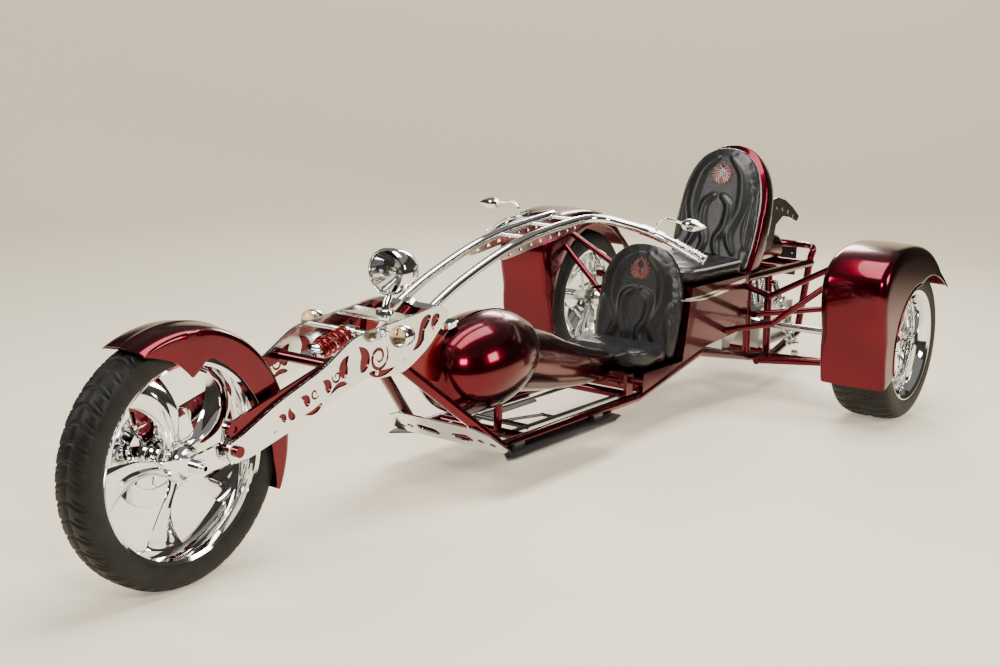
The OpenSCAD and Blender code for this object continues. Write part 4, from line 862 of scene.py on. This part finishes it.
shell_root = np.array([left_axle[0] + 0.150 - 0.0706 / math.cos(passenger_lean), 0, shell_low[2]])
shell_height = (back_high[2] - back_low[2]) / math.cos(passenger_lean) + 0.003
depth = np.array([0.0, 0.004, 0.012, 0.030, 0.052, 0.078, 0.102, 0.122, 0.136, 0.1435, 0.1455])
inset = np.array([0.008, 0.002, 0.0, 0.0, 0.001, 0.005, 0.013, 0.027, 0.047, 0.080, 0.130])
rings = []
for deep, pull in zip(depth, inset):
    rim = back_rim(shell_height - pull * 0.9, seat_half + 0.007 - pull * 0.75, 81)
    rings.append(shell_root + rim[:, :1] * (0, 1, 0) + rim[:, 1:] * up_back + deep * behind)
rings = np.stack(rings)
rings[..., 2] = np.maximum(rings[..., 2], shell_low[2] + 0.0005)
count = rings.shape[1]
shell_faces = [tuple(f) for f in quads_of(*rings.shape[:2])]
shell_faces += ends_of(len(rings), count)
shell_faces.append(tuple(k * count for k in range(len(rings) - 1, -1, -1))
                   + tuple((k + 1) * count - 1 for k in range(len(rings))))
hump = made("seat_hump", [flip_if_inside_out(rings, shell_faces)], burgundy, 55)
settle(hump, "frame", "candy_red", "seat_shell")


# ---------------------------------------------------------------- seat covers
# Glossy black leather over foam. The foam is blown up under the cover with the cloth solver, so
# the panels swell between their seams; a relief of flames is moulded into each cover.
leather, tree, shader = material("leather", base_color=(0.010, 0.010, 0.011), specular_ior_level=0.45)
place = add(tree, "TexCoord").outputs["Object"]
grain = add(tree, "TexVoronoi", [("Vector", place)], scale=520.0)
crease_noise = add(tree, "TexNoise", [("Vector", place)], scale=46.0, detail=5.0)
wear = add(tree, "MapRange", [("Value", crease_noise.outputs["Fac"])], to_min=0.24, to_max=0.42)
tree.links.new(wear.outputs["Result"], shader.inputs["Roughness"])
coarse = add(tree, "Bump", [("Height", crease_noise.outputs["Fac"])], strength=0.22, distance=0.002)
fine = add(tree, "Bump", [("Height", grain.outputs["Distance"]), ("Normal", coarse.outputs["Normal"])],
           strength=0.25, distance=0.0006)
tree.links.new(fine.outputs["Normal"], shader.inputs["Normal"])
# The piping's light grey is painted sheen: it stands in for the light that the black leather's left edges
# catch.
piping, tree, shader = material("piping", base_color=(0.30, 0.31, 0.33), roughness=0.45)
weave = add(tree, "TexWave", [("Vector", add(tree, "TexCoord").outputs["Object"])], scale=260.0)
bump = add(tree, "Bump", [("Height", weave.outputs["Fac"])], strength=0.3, distance=0.0006)
tree.links.new(bump.outputs["Normal"], shader.inputs["Normal"])


def thread(name, colour):
    """Satin embroidery: fine diagonal stitches."""
    stitched, tree, shader = material(name, base_color=colour, roughness=0.38, sheen_weight=0.4)
    lines = add(tree, "TexWave", [("Vector", add(tree, "TexCoord").outputs["Object"])], scale=420.0,
                bands_direction="DIAGONAL")
    bump = add(tree, "Bump", [("Height", lines.outputs["Fac"])], strength=0.6, distance=0.0005)
    tree.links.new(bump.outputs["Normal"], shader.inputs["Normal"])
    return stitched


red_thread = thread("red_thread", (0.14, 0.006, 0.008))
silver_thread = thread("silver_thread", (0.55, 0.53, 0.50))


def flame_lines(height, half):
    """The centre lines of the flames on a backrest, on both sides: (across, up), each with its half width."""
    tongues = [([(0.16, 0.90), (0.50, 0.76), (0.60, 0.50), (0.42, 0.27), (0.62, 0.10)], 0.125),
               ([(0.08, 0.58), (0.30, 0.50), (0.30, 0.33), (0.14, 0.20), (0.26, 0.06)], 0.105),
               ([(0.86, 0.50), (0.80, 0.34), (0.86, 0.16)], 0.085)]
    lines = []
    for line, width in tongues:
        curve = spline(np.array(line) * (half, height), 26)
        taper = np.sin(np.linspace(0.12, math.pi - 0.05, len(curve))) ** 0.7
        lines += [(curve * (sign, 1), width * half * taper + 0.001) for sign in (1, -1)]
    return lines


def relief(points, lines, deep):
    """How far the cover stands out at each (across, up) point, from how near the point is to a flame."""
    lift = np.zeros(len(points))
    for line, width in lines:
        gap = np.linalg.norm(points[:, None, :] - line[None], axis=2)
        nearest = gap.argmin(axis=1)
        share = gap[np.arange(len(points)), nearest] / (width[nearest] * 1.15)
        lift = np.maximum(lift, deep * np.clip(1 - share ** 2, 0, 1) ** 1.2)
    return lift


def slab(outline, along, rise, root, thick, out, edge=0.016):
    """A closed pad: an outline of (across, up) points given a thickness, with its two rims rounded."""
    outline = np.asarray(outline)
    middle = outline.mean(axis=0)
    reach = np.linalg.norm(outline - middle, axis=1)[:, None]
    rings = []
    for t in np.linspace(0, math.pi, 9):
        pull = edge * (1 - math.sin(t))
        deep = edge * (1 - math.cos(t)) if t < math.pi / 2 else thick - edge * (1 + math.cos(t))
        ring = middle + (outline - middle) * (1 - pull / reach)
        rings.append(root + ring[:, :1] * along + ring[:, 1:] * rise + deep * out)
    rings = np.stack(rings)
    size = rings.shape[:2]
    return flip_if_inside_out(rings, [*quads_of(*size, wrap_columns=True), *ends_of(*size)])


def swollen(piece, cell=0.0062, press=4.0, farthest=0.008):
    """Blows a pad up under its own cover with the cloth solver, and gives its points before and after. None
    moves more than the farthest distance."""
    bpy.context.view_layer.objects.active = piece
    remesh = piece.modifiers.new("cells", "REMESH")
    remesh.mode, remesh.voxel_size = "VOXEL", cell
    bpy.ops.object.modifier_apply(modifier=remesh.name)
    before = np.empty(len(piece.data.vertices) * 3)
    piece.data.vertices.foreach_get("co", before)
    cloth = piece.modifiers.new("cover", "CLOTH")
    cloth.settings.use_pressure = True
    cloth.settings.uniform_pressure_force = press
    cloth.settings.quality = 4
    cloth.settings.tension_stiffness = cloth.settings.compression_stiffness = 22
    cloth.settings.bending_stiffness = 1.2
    cloth.settings.effector_weights.gravity = 0
    cloth.point_cache.frame_start, cloth.point_cache.frame_end = 1, 14
    for frame_number in range(1, 15):
        bpy.context.scene.frame_set(frame_number)
        bpy.context.view_layer.update()
    bpy.ops.object.modifier_apply(modifier=cloth.name)
    bpy.context.scene.frame_set(1)
    after = np.empty_like(before)
    piece.data.vertices.foreach_get("co", after)
    before, after = before.reshape(-1, 3), after.reshape(-1, 3)
    moved = after - before
    far = np.linalg.norm(moved, axis=1, keepdims=True)
    return before, before + moved * np.minimum(1, farthest / np.maximum(far, 1e-9))


pad_fronts = {}


def seat_pad(name, outline, root, along, rise, out, thick, lines, deep, press=4.0):
    """One upholstered pad: swollen foam, pressed back inside its box, with its flames raised on the front."""
    pad = made(name + "_cover", [slab(outline, along, rise, root, thick, out)], leather, 60)
    _, points = swollen(pad, press=press)
    away = points - root
    across, up, front = away @ along, away @ rise, away @ out
    facing = np.clip((front - thick * 0.55) / (thick * 0.35), 0, 1)
    inner = np.clip(1.35 - np.abs(across) / np.abs(outline[:, 0]).max() * 1.35, 0, 1) ** 0.5
    lift = relief(np.column_stack([across, up]), lines, deep) * facing * inner
    points = points + (lift - deep * facing)[:, None] * out
    low, high = corners(name)
    size = points.max(axis=0) - points.min(axis=0)
    middle = (points.max(axis=0) + points.min(axis=0)) / 2
    points = (low + high) / 2 + (points - middle) * np.minimum(1, (high - low) / size)
    pad.data.vertices.foreach_set("co", points.ravel())
    pad.data.shade_smooth()
    even = pad.modifiers.new("even", "SMOOTH")
    even.factor, even.iterations = 0.5, 7
    smooth_ = pad.modifiers.new("smooth", "SUBSURF")
    smooth_.levels = smooth_.render_levels = 1
    front = (points - root) @ out
    pad_fronts[name] = np.column_stack([across, up, front])[front > thick * 0.5]
    settle(pad, "frame", "leather", name)
    return points


driver_lean = math.radians(9.7)
back_thick = 0.070
seats = (("driver", driver_lean, 0.0105), ("passenger", passenger_lean, 0.0105))
across_axis = np.array([0.0, 1.0, 0.0])
back_frames = {}
for who, lean, deep in seats:
    low, high = corners(who + "_backrest")
    rise = np.array([-math.sin(lean), 0, math.cos(lean)])
    out = np.array([math.cos(lean), 0, math.sin(lean)])
    tall_ = (high[2] - low[2] - back_thick * math.sin(lean)) / math.cos(lean)
    foot_x = high[0] - back_thick * math.cos(lean)
    if who == "passenger":
        foot_x = high[0] - back_thick / math.cos(lean) + 0.0002
    foot = np.array([foot_x, 0, low[2]])
    rim = back_rim(tall_ * 0.995, high[1] * 0.995, 73)[:-1]
    back_frames[who] = (foot, rise, out, tall_, high[1])
    seat_pad(who + "_backrest", rim, foot, across_axis, rise, out, back_thick, flame_lines(tall_, high[1]),
             deep)
    low, high = corners(who + "_cushion")
    long_, half = high[0] - low[0], high[1]
    corner_t = np.linspace(0, math.pi / 2, 8)
    quarter = np.column_stack([half - 0.07 + 0.07 * np.cos(corner_t), long_ - 0.10 + 0.10 * np.sin(corner_t)])
    near = np.array([(half * 0.94, 0.004), (half, 0.05)])
    outline = np.vstack([near, quarter, (quarter * (-1, 1))[::-1], (near * (-1, 1))[::-1]])
    bowls = [(line * (0.86, 0.62) + (0, long_ * 0.20), width * 1.1)
             for line, width in flame_lines(long_, half)[:2]]
    seat_pad(who + "_cushion", outline, np.array([low[0], 0, low[2]]), across_axis, np.array([1.0, 0, 0]),
             np.array([0, 0, 1.0]), high[2] - low[2], bowls, 0.006)


def on_back(who, across, up, out_by):
    """A place on a backrest: across and up in metres, and how far out from the cover there."""
    foot, rise, out, *_ = back_frames[who]
    front = pad_fronts[who + "_backrest"]
    nearest = np.argsort(np.abs(front[:, 0] - across) + np.abs(front[:, 1] - up))[:6]
    return foot + across * across_axis + up * rise + (out_by + front[nearest, 2].mean()) * out


def emblem(who, up, size, sprays, out_by, finish, name, width, curl):
    """An embroidered spray of flames: curling strokes that fan out and up from one root, on both sides."""
    shapes = []
    for k in range(sprays):
        lean_ = math.radians(8 + 150 * k / max(1, sprays - 1))
        reach = size * (1.0 - 0.42 * k / sprays)
        heading_ = np.array([math.sin(lean_), math.cos(lean_)])
        side = np.array([heading_[1], -heading_[0]])
        t = np.linspace(0, 1, 16)[:, None]
        line = (0.1 + 0.9 * t) * reach * heading_ + curl * reach * np.sin(t * math.pi * 1.3) * side
        widths = width * size * np.sin(np.linspace(0.25, math.pi, 16)) + 0.0003
        heads = unit(np.gradient(line, axis=0))
        edge = np.column_stack([-heads[:, 1], heads[:, 0]]) * widths[:, None]
        for sign in (1, -1):
            strip = [[on_back(who, sign * p[0], up + p[1], out_by + high_) for p in line + offset * edge]
                     for offset, high_ in ((-1, 0.0), (0, 0.0022), (1, 0.0))]
            faces = [tuple(f) for f in quads_of(3, 16)]
            shapes.append((np.array(strip), faces if sign < 0 else [f[::-1] for f in faces]))
    piece = made(name, shapes, finish, 60)
    wall = piece.modifiers.new("wall", "SOLIDIFY")
    wall.thickness, wall.offset = 0.0016, 0
    settle(piece, "frame", "leather")


emblem("passenger", back_frames["passenger"][3] * 0.74, 0.064, 9, 0.0004, red_thread, "passenger_emblem_red",
       0.075, 0.30)
emblem("passenger", back_frames["passenger"][3] * 0.735, 0.050, 7, 0.0016, silver_thread,
       "passenger_emblem_silver", 0.030, -0.26)
emblem("driver", back_frames["driver"][3] * 0.74, 0.058, 8, 0.0004, red_thread, "driver_emblem", 0.060, 0.26)
# Grey piping, a raised lip whose light grey is painted sheen, runs only along the passenger seat's left
# edges: over the backrest's rim and along the cushion's side and front.
rim = back_rim(back_frames["passenger"][3] * 0.985, back_frames["passenger"][4] * 0.98, 97)[:64]
low, high = corners("passenger_backrest")
lip = np.clip([on_back("passenger", a, max(u, 0.012), -0.010) for a, u in rim], low + 0.006, high - 0.006)
low, high = corners("passenger_cushion")
hem = spline(np.array([(low[0] + 0.03, high[1] - 0.010, high[2] - 0.020),
                       (high[0] - 0.12, high[1] - 0.008, high[2] - 0.020),
                       (high[0] - 0.030, high[1] - 0.040, high[2] - 0.024),
                       (high[0] - 0.008, 0.10, high[2] - 0.026), (high[0] - 0.008, -0.10, high[2] - 0.026)]),
                       14)
settle(made("passenger_piping", [tube(lip, 0.0048, 12), tube(hem, 0.0048, 12)], piping), "frame", "leather")


# ---------------------------------------------------------------- handlebars
# Two long chromed bars sweep back over the tank from the fork. Gussets join them, perforated
# plates hang under them, and ribbed chromed grips end them.
bar_offsets = np.array([(-0.260, 0.067, 0.135), (-0.487, 0.067, 0.211), (-0.668, 0.067, 0.251),
                        (-0.856, 0.068, 0.275), (-1.000, 0.075, 0.288), (-1.075, 0.107, 0.288),
                        (-1.115, 0.177, 0.274), (-1.151, 0.302, 0.242), (-1.199, 0.478, 0.164)])
bar_route = np.vstack([[(0.7415, 0.067, 0.6365)], neck + bar_offsets])
bar_line = spline(bar_route, 14)
grip_length = 0.128
grip_start = bar_line[-1] + unit(bar_line[-2] - bar_line[-1]) * grip_length
held = bar_line[bar_line[:, 1] < grip_start[1] + 0.006]
bar_shapes = both(tube(held, 0.016, 28))
for k in (3, 4, 5):
    place_ = bar_route[k]
    bar_shapes.append(tube(np.array([place_ * (1, -1, 1) + (0, 0.010, 0), place_ - (0, 0.010, 0)]), 0.008,
                           20))
settle(made("long_bars", bar_shapes, chrome), "steering", "chrome", "handlebars")
grip_heading = unit(bar_line[-1] - grip_start)
grip_along = np.linspace(0, grip_length, 120)
grip_ribs = np.clip(3 * np.sin(grip_along / 0.0058 * math.pi), -1, 1)
grip_ribs = grip_ribs * ((grip_along > 0.012) & (grip_along < 0.112))
grip_radius = 0.0188 + 0.0026 * grip_ribs
grip_radius[:8] = 0.0218
grip_radius[-3:] = (0.0205, 0.0185, 0.012)
grip_line = grip_start + grip_along[:, None] * grip_heading
settle(made("ribbed_grips", both(tube(grip_line, grip_radius, 28)), chrome, 30), "steering", "chrome",
       "hand_grips")

perch = held[-8]
lever = spline(np.array([perch + (0.010, 0, 0.004), perch + (0.034, 0.016, 0.004),
                         perch + (0.040, 0.070, -0.014), grip_line[100] + (0.040, 0, 0.002),
                         grip_line[110] + (0.034, 0.002, 0)]), 12)
lever_shapes = both(tube(lever, np.linspace(0.0062, 0.0042, len(lever)), 14), tube(held[-12:-3], 0.0195, 28))
settle(made("levers", lever_shapes, chrome, 35), "steering", "chrome")

plate_line = spline(bar_route[2:6], 16)[:, [0, 2]]
drop_share = np.sin(np.linspace(0.0, math.pi, len(plate_line))) ** 0.5
upper_rim = plate_line - (0, 0.010)
lower_rim = plate_line - np.column_stack([np.zeros(len(plate_line)), 0.016 + 0.029 * drop_share])
bar_holes = []
for k in range(6, len(plate_line) - 6, 5):
    centre = (upper_rim[k] + lower_rim[k]) / 2
    lean_ = math.atan2(*(plate_line[k + 1] - plate_line[k - 1])[::-1])
    circle = ring_of((0, 0), 1.0) * (0.0088, 0.0044 + 0.0030 * drop_share[k])
    turn_ = np.array([[math.cos(lean_), math.sin(lean_)], [-math.sin(lean_), math.cos(lean_)]])
    bar_holes.append(centre + circle @ turn_)
pierced = flat_plate([np.vstack([upper_rim, lower_rim[::-1]])] + bar_holes, 0.0045, 0.0648)
settle(made("pierced_bar_plates", both(pierced), polished, 30), "steering", "polished", "bar_plates")


# ---------------------------------------------------------------- mirrors
# Teardrop mirrors on thin curved stalks, with faintly red glass.
mirror_glass, tree, shader = material("mirror_glass", metallic=1.0, base_color=(0.55, 0.30, 0.28))
film = add(tree, "TexNoise", [("Vector", add(tree, "TexCoord").outputs["Object"])], scale=30.0)
haze = add(tree, "MapRange", [("Value", film.outputs["Fac"])], to_min=0.01, to_max=0.06)
tree.links.new(haze.outputs["Result"], shader.inputs["Roughness"])
mirror_at = np.array([-0.300, 0.440, 0.862])
angle = np.linspace(0, 2 * math.pi, 56, endpoint=False)
drop_y = np.where(np.cos(angle) > 0, 0.060, 0.042) * np.cos(angle)
drop_z = 0.0235 * np.sin(angle) * (1 - 0.62 * np.clip(np.cos(angle), 0, 1) ** 1.5)
head_rings = []
for deep, size in ((0.004, 0.84), (0.0045, 0.90), (0.002, 0.97), (-0.002, 1.0), (-0.008, 0.96),
                   (-0.015, 0.82), (-0.020, 0.58), (-0.0225, 0.25)):
    head_rings.append(mirror_at + np.column_stack([np.full(56, -deep), drop_y * size, drop_z * size]))
head_rings = np.stack(head_rings)
head_faces = [*quads_of(len(head_rings), 56, wrap_columns=True), *ends_of(len(head_rings), 56)]
stalk = spline(np.array([bar_route[8] + (0, 0, 0.010), bar_route[8] + (0.010, 0.004, 0.040),
                         bar_route[8] + (0.006, 0.034, 0.064), mirror_at + (0.006, -0.064, 0.010),
                         mirror_at + (0.010, -0.030, 0.003)]), 12)
mirror_shapes = both(flip_if_inside_out(head_rings, head_faces),
                     tube(stalk, np.linspace(0.0058, 0.0046, len(stalk)), 16))
mirror_pieces = made("teardrop_mirrors", mirror_shapes, chrome, 40)
settle(mirror_pieces, "steering", "chrome", "mirrors")
pane = (mirror_at + np.column_stack([np.full(56, -0.0046), drop_y * 0.82, drop_z * 0.82]), [tuple(range(56))])
settle(made("mirror_panes", both(pane), mirror_glass), "steering", "chrome")


# ---------------------------------------------------------------- lights
# A chromed bucket with a faceted reflector, a bulb and a domed clear glass; two small bullets
# with amber glass stand out from the fork legs.
def clear_glass(name, tint, rough):
    """Moulded lens glass with faint ripples."""
    glass, tree, shader = material(name, transmission_weight=1.0, ior=1.46, base_color=tint, roughness=rough)
    ripples = add(tree, "TexWave", [("Vector", add(tree, "TexCoord").outputs["Object"])], scale=42.0,
                  bands_direction="Y")
    bump = add(tree, "Bump", [("Height", ripples.outputs["Fac"])], strength=0.06, distance=0.001)
    tree.links.new(bump.outputs["Normal"], shader.inputs["Normal"])
    return glass


lens_glass = clear_glass("lens_glass", (0.97, 0.98, 0.99), 0.02)
amber_glass = clear_glass("amber_glass", (0.98, 0.84, 0.66), 0.05)
lamp_centre = np.array([0.846, 0.0, 0.764])
bucket = [(0.0004, -0.0795), (0.020, -0.0782), (0.042, -0.0715), (0.058, -0.056), (0.0668, -0.034),
          (0.0705, -0.008), (0.0712, 0.008), (0.0745, 0.0105), (0.0747, 0.027), (0.0735, 0.0335),
          (0.0705, 0.0375), (0.0672, 0.0380), (0.0652, 0.0350), (0.0648, 0.024)]
reflector = [(0.0640, 0.022), (0.058, 0.004), (0.048, -0.014), (0.034, -0.027), (0.016, -0.034),
             (0.0004, -0.035)]
lamp_stem = [tube(np.array([(0.880, 0, 0.644), (0.874, 0, 0.668), (0.856, 0, 0.700)]),
                  (0.0135, 0.0125, 0.0125), 28),
             turned([(0.0004, 0.0005), (0.0295, 0.0005), (0.0298, 0.0070), (0.0270, 0.0098), (0.0140, 0.0110),
                     (0.0004, 0.0110)],
                    (0.880, 0, 0.6380), "z", 48)]
bucket += [(0.0644, 0.022), (0.0004, -0.060)]
bucket_shapes = [turned(bucket, lamp_centre, "x", 120), *lamp_stem]
settle(made("lamp_bucket", bucket_shapes, chrome, 32), "steering", "chrome", "headlight")
reflector += [(0.0004, -0.037), (0.040, -0.028), (0.0642, 0.018)]
settle(made("lamp_reflector", [turned(reflector, lamp_centre, "x", 96)], cast), "steering", "polished")
bulb = [(0.0004, -0.034), (0.0075, -0.034), (0.0075, -0.012), (0.0120, -0.010), (0.0120, 0.004),
        (0.0095, 0.008), (0.0004, 0.0085)]
settle(made("lamp_bulb_shield", [turned(bulb, lamp_centre, "x", 40)], polished), "steering", "chrome")
dome = np.linspace(0, 1, 14)
dome_front = np.column_stack([0.0645 * dome, 0.0410 - 0.0065 * dome ** 2])
lens_profile = np.vstack([dome_front, (dome_front - (0, 0.0028))[::-1]])
lens_profile[[0, -1], 0] = 0.0004
settle(made("lamp_lens", [turned(lens_profile, lamp_centre, "x", 120)], lens_glass, 50), "steering", "chrome")

signal_centre = np.array([1.017, 0.179, 0.607])
bullet = [(0.0004, -0.0495), (0.008, -0.0485), (0.018, -0.0425), (0.0265, -0.031), (0.0318, -0.014),
          (0.0338, 0.004), (0.0338, 0.016), (0.0318, 0.0205), (0.0295, 0.0200), (0.0290, 0.012),
          (0.0004, 0.010)]
signal_shapes = both(turned(bullet, signal_centre, "x", 72),
                     tube(np.array([(1.017, 0.1243, 0.607), (1.017, 0.150, 0.607)]), 0.007, 24))
settle(made("signal_bullets", signal_shapes, chrome, 35), "steering", "chrome", "turn_signals")
eye = np.linspace(0, 1, 9)
signal_lens = np.vstack([np.column_stack([0.0288 * eye, 0.0335 - 0.0125 * eye ** 2]),
                         [(0.0285, 0.0145), (0.0004, 0.0145)]])
signal_lens[0, 0] = 0.0004
settle(made("signal_lenses", both(turned(signal_lens, signal_centre, "x", 64)), amber_glass, 50), "steering",
       "chrome")


# ---------------------------------------------------------------- shock absorbers
# Each has a chromed body, a coil spring between two collars and an eye at each end. The front
# one lies between the fork legs with a red spring; the rear pair stand on the lower arms.
def coil(start, end, radius, wire, turns):
    """A spring wound round the line from start to end, its last turns drawn close."""
    axis = unit(end - start)
    side = unit(np.cross(axis, (0.3, 0.2, 1)))
    over = np.cross(axis, side)
    t = np.linspace(0, 1, int(turns * 30))
    eased = np.interp(t, (0, 1 / turns, 1 - 1 / turns, 1), (0, 0.45 / turns, 1 - 0.45 / turns, 1))
    angle = 2 * math.pi * turns * t
    sway = np.cos(angle)[:, None] * side + np.sin(angle)[:, None] * over
    line = start + (end - start) * eased[:, None] + radius * sway
    return tube(line, wire, 12)


def stepped(start, end, steps):
    """Round sleeves along a line: steps are (distance along, radius)."""
    axis = unit(end - start)
    route = np.array([start + axis * along for along, _ in steps])
    nudge = np.linspace(0, 1e-5, len(route))[:, None] * axis
    return tube(route + nudge, [radius for _, radius in steps], 36)


def shock(front, rear, spring_radius, low, high, eye_radius, eye_half):
    """The metal shapes of one absorber, and its spring."""
    long_ = np.linalg.norm(rear - front)
    core, rod, boss = spring_radius * 0.62, 0.0075, 0.013
    steps = [(low - 0.010, boss), (low - 0.0099, spring_radius), (low - 0.002, spring_radius),
             (low - 0.0019, core), (high * 0.55, core), (high * 0.551, rod), (high, rod),
             (high + 0.0001, spring_radius), (high + 0.007, spring_radius), (high + 0.0071, boss),
             (long_ - 0.012, boss)]
    body = [stepped(front, rear, steps)]
    for centre in (front, rear):
        sleeve = [(0.006, -eye_half), (eye_radius - 0.0015, -eye_half), (eye_radius, -eye_half + 0.0015),
                  (eye_radius, eye_half - 0.0015), (eye_radius - 0.0015, eye_half), (0.006, eye_half)]
        body.append(turned(sleeve, centre, "y", 36))
    axis = unit(rear - front)
    return body, coil(front + axis * low, front + axis * high, spring_radius - 0.0056, 0.0050, 6.5)


front_eye, rear_eye = np.array([1.245 - 0.0186, 0, 0.548]), np.array([1.035, 0, 0.600])
metal, spring = shock(front_eye, rear_eye, 0.0325, 0.032, 0.160, 0.0165, 0.020)
metal.append(tube(np.array([(1.035, -0.1225, 0.600), (1.035, 0.1225, 0.600)]), 0.0080, 24))
settle(made("fork_shock_body", metal, chrome, 35), "steering", "chrome", "front_shock")
settle(made("fork_shock_spring", [spring], scarlet), "steering", "spring_red")
shock_low, shock_high = corners("rear_shocks")
low_eye = np.array([shock_high[0] - 0.0145, shock_high[1] - 0.0140, shock_low[2] + 0.0140])
high_eye = np.array([shock_low[0] + 0.0140, 0.226, shock_high[2] - 0.0140])
metal, spring = shock(low_eye, high_eye, 0.0288, 0.042, 0.245, 0.0128, 0.0135)
settle(made("rear_shock_bodies", both(*metal), chrome, 35), "frame", "chrome", "rear_shocks")
settle(made("rear_shock_springs", both(spring), chrome), "frame", "chrome")


# ---------------------------------------------------------------- engine
# Finned cylinders in a V with ribbed rocker covers and pushrod tubes, and a round finned air
# cleaner on the right.
for side_, name in ((1, "front_cylinder"), (-1, "rear_cylinder")):
    fins = [(0.0004, 0.0), (0.047, 0.0)]
    for k in range(13):
        at = 0.010 + k * 0.0094
        reach = 0.0655 - 0.004 * (k < 2)
        fins += [(0.047, at), (reach, at + 0.0004), (reach + 0.0006, at + 0.0014), (reach, at + 0.0024),
                 (0.047, at + 0.0030)]
    fins += [(0.047, 0.137), (0.058, 0.139), (0.0615, 0.146), (0.0615, 0.172), (0.0585, 0.182),
             (0.048, 0.190), (0.020, 0.1935), (0.0004, 0.194)]
    points, faces = turned(fins, (0, 0, 0), "z", 88)
    tubes = []
    for off in (-0.016, 0.016):
        rod_line = np.array([(off, 0.060, -0.010), (off * 1.5, 0.064, 0.150)])
        tubes.append(tube(rod_line, 0.0068, 20))
    shapes = [(points, faces), *tubes]
    for k in range(5):
        rib = np.array([(-0.040 + 0.020 * k, -0.036, 0.1885), (-0.040 + 0.020 * k, 0.036, 0.1885)])
        shapes.append(tube(rib, 0.0034, 10))
    lean_ = side_ * math.radians(22.5)
    turn_ = np.array([[math.cos(lean_), 0, math.sin(lean_)], [0, 1, 0],
                      [-math.sin(lean_), 0, math.cos(lean_)]])
    root = np.array([-1.800 + side_ * 0.026, 0, 0.318])
    shapes = [(np.asarray(p).reshape(-1, 3) @ turn_.T + root, f) for p, f in shapes]
    settle(made(name, shapes, polished, 32), "frame", "polished",
           *(["engine_cylinders"] if side_ > 0 else []))
intake = stepped(np.array([-1.800, 0.0, 0.480]), np.array([-1.800, -0.112, 0.480]),
                 [(0.0, 0.030), (0.060, 0.028), (0.1105, 0.036)])
settle(made("intake_neck", [intake], chrome), "frame", "chrome")
cleaner = np.array([-1.820, -0.112, 0.480])
disc = [(0.0004, 0.0), (0.094, 0.0), (0.0975, -0.004), (0.0975, -0.008), (0.090, -0.012), (0.090, -0.034),
        (0.0985, -0.038), (0.0985, -0.044), (0.092, -0.0485), (0.060, -0.0505), (0.052, -0.0470),
        (0.030, -0.0470), (0.024, -0.0510), (0.0004, -0.0515)]
cleaner_shapes = [turned(disc, cleaner, "y", 96)]
for k in range(16):
    a = 2 * math.pi * k / 16
    blade_line = [cleaner + (r * math.cos(a + swirl), -0.049, r * math.sin(a + swirl))
                  for r, swirl in ((0.034, 0.0), (0.062, 0.16), (0.090, 0.42))]
    cleaner_shapes.append(tube(spline(np.array(blade_line), 5), 0.0024, 8))
settle(made("air_cleaner_disc", cleaner_shapes, chrome, 32), "frame", "chrome", "air_cleaner")
finish_nodes(chrome, "exhaust_pipes")
finish_nodes(burgundy, "tail_hoop")
finish_nodes(polished, "rack_rails")


# ---------------------------------------------------------------- tail cowl
# A rounded cowl closes the tail behind the seat: its section is a soft box that narrows and
# drops toward the rear.
cowl_low, cowl_high = corners("tail_cowl")
stations = np.linspace(0, 1, 36)
ring_t = np.linspace(0, 2 * math.pi, 65)[:-1]
cowl_rings = []
for t in stations:
    nose, tail = min(1.0, t * 9 + 0.25), min(1.0, (1 - t) * 5 + 0.02)
    shoulder = math.sin(tail * math.pi / 2) ** 0.6 * math.sin(nose * math.pi / 2) ** 0.5
    top = np.interp(t, (0, 0.1, 0.36, 0.72, 0.94, 1.0),
                    (0.126, 0.140, 0.1498, 0.120, 0.066, 0.040)) * (0.35 + 0.65 * shoulder)
    half = (0.1045 - 0.018 * t ** 2) * shoulder
    across = np.sign(np.cos(ring_t)) * np.abs(np.cos(ring_t)) ** 0.55 * half
    rise = np.sign(np.sin(ring_t)) * np.abs(np.sin(ring_t)) ** 0.55
    cowl_rings.append(np.column_stack([np.full(64, cowl_high[0] + (cowl_low[0] - cowl_high[0]) * t), across,
                                       cowl_low[2] + 0.0003 + top * (rise + 1) / 2]))
cowl_rings = np.stack(cowl_rings)
cowl_faces = [*quads_of(36, 64, wrap_columns=True), *ends_of(36, 64)]
settle(made("cowl_shell", [flip_if_inside_out(cowl_rings, cowl_faces)], burgundy, 40), "frame", "candy_red",
       "tail_cowl")


# ---------------------------------------------------------------- side trim
# A polished strip runs along each side of the passenger's deck and ends in an eye.
trim_line = spline(np.array([(-0.700, 0.2085, 0.508), (-0.900, 0.2085, 0.500), (-1.100, 0.2085, 0.512),
                             (-1.280, 0.2085, 0.530)]), 20)
trim_half = 0.011 * np.sin(np.linspace(0.10, math.pi - 0.35, len(trim_line)))
strip = stroke(trim_line[:, [0, 2]], trim_half + 0.002)
slot_ = stroke(trim_line[12:34, [0, 2]], 0.0035 * np.sin(np.linspace(0.05, math.pi - 0.05, 22)) + 0.0008)
trim = made("deck_trim", both(flat_plate([strip, slot_], 0.0030, 0.2101)), polished, 35)
settle(trim, "frame", "polished")
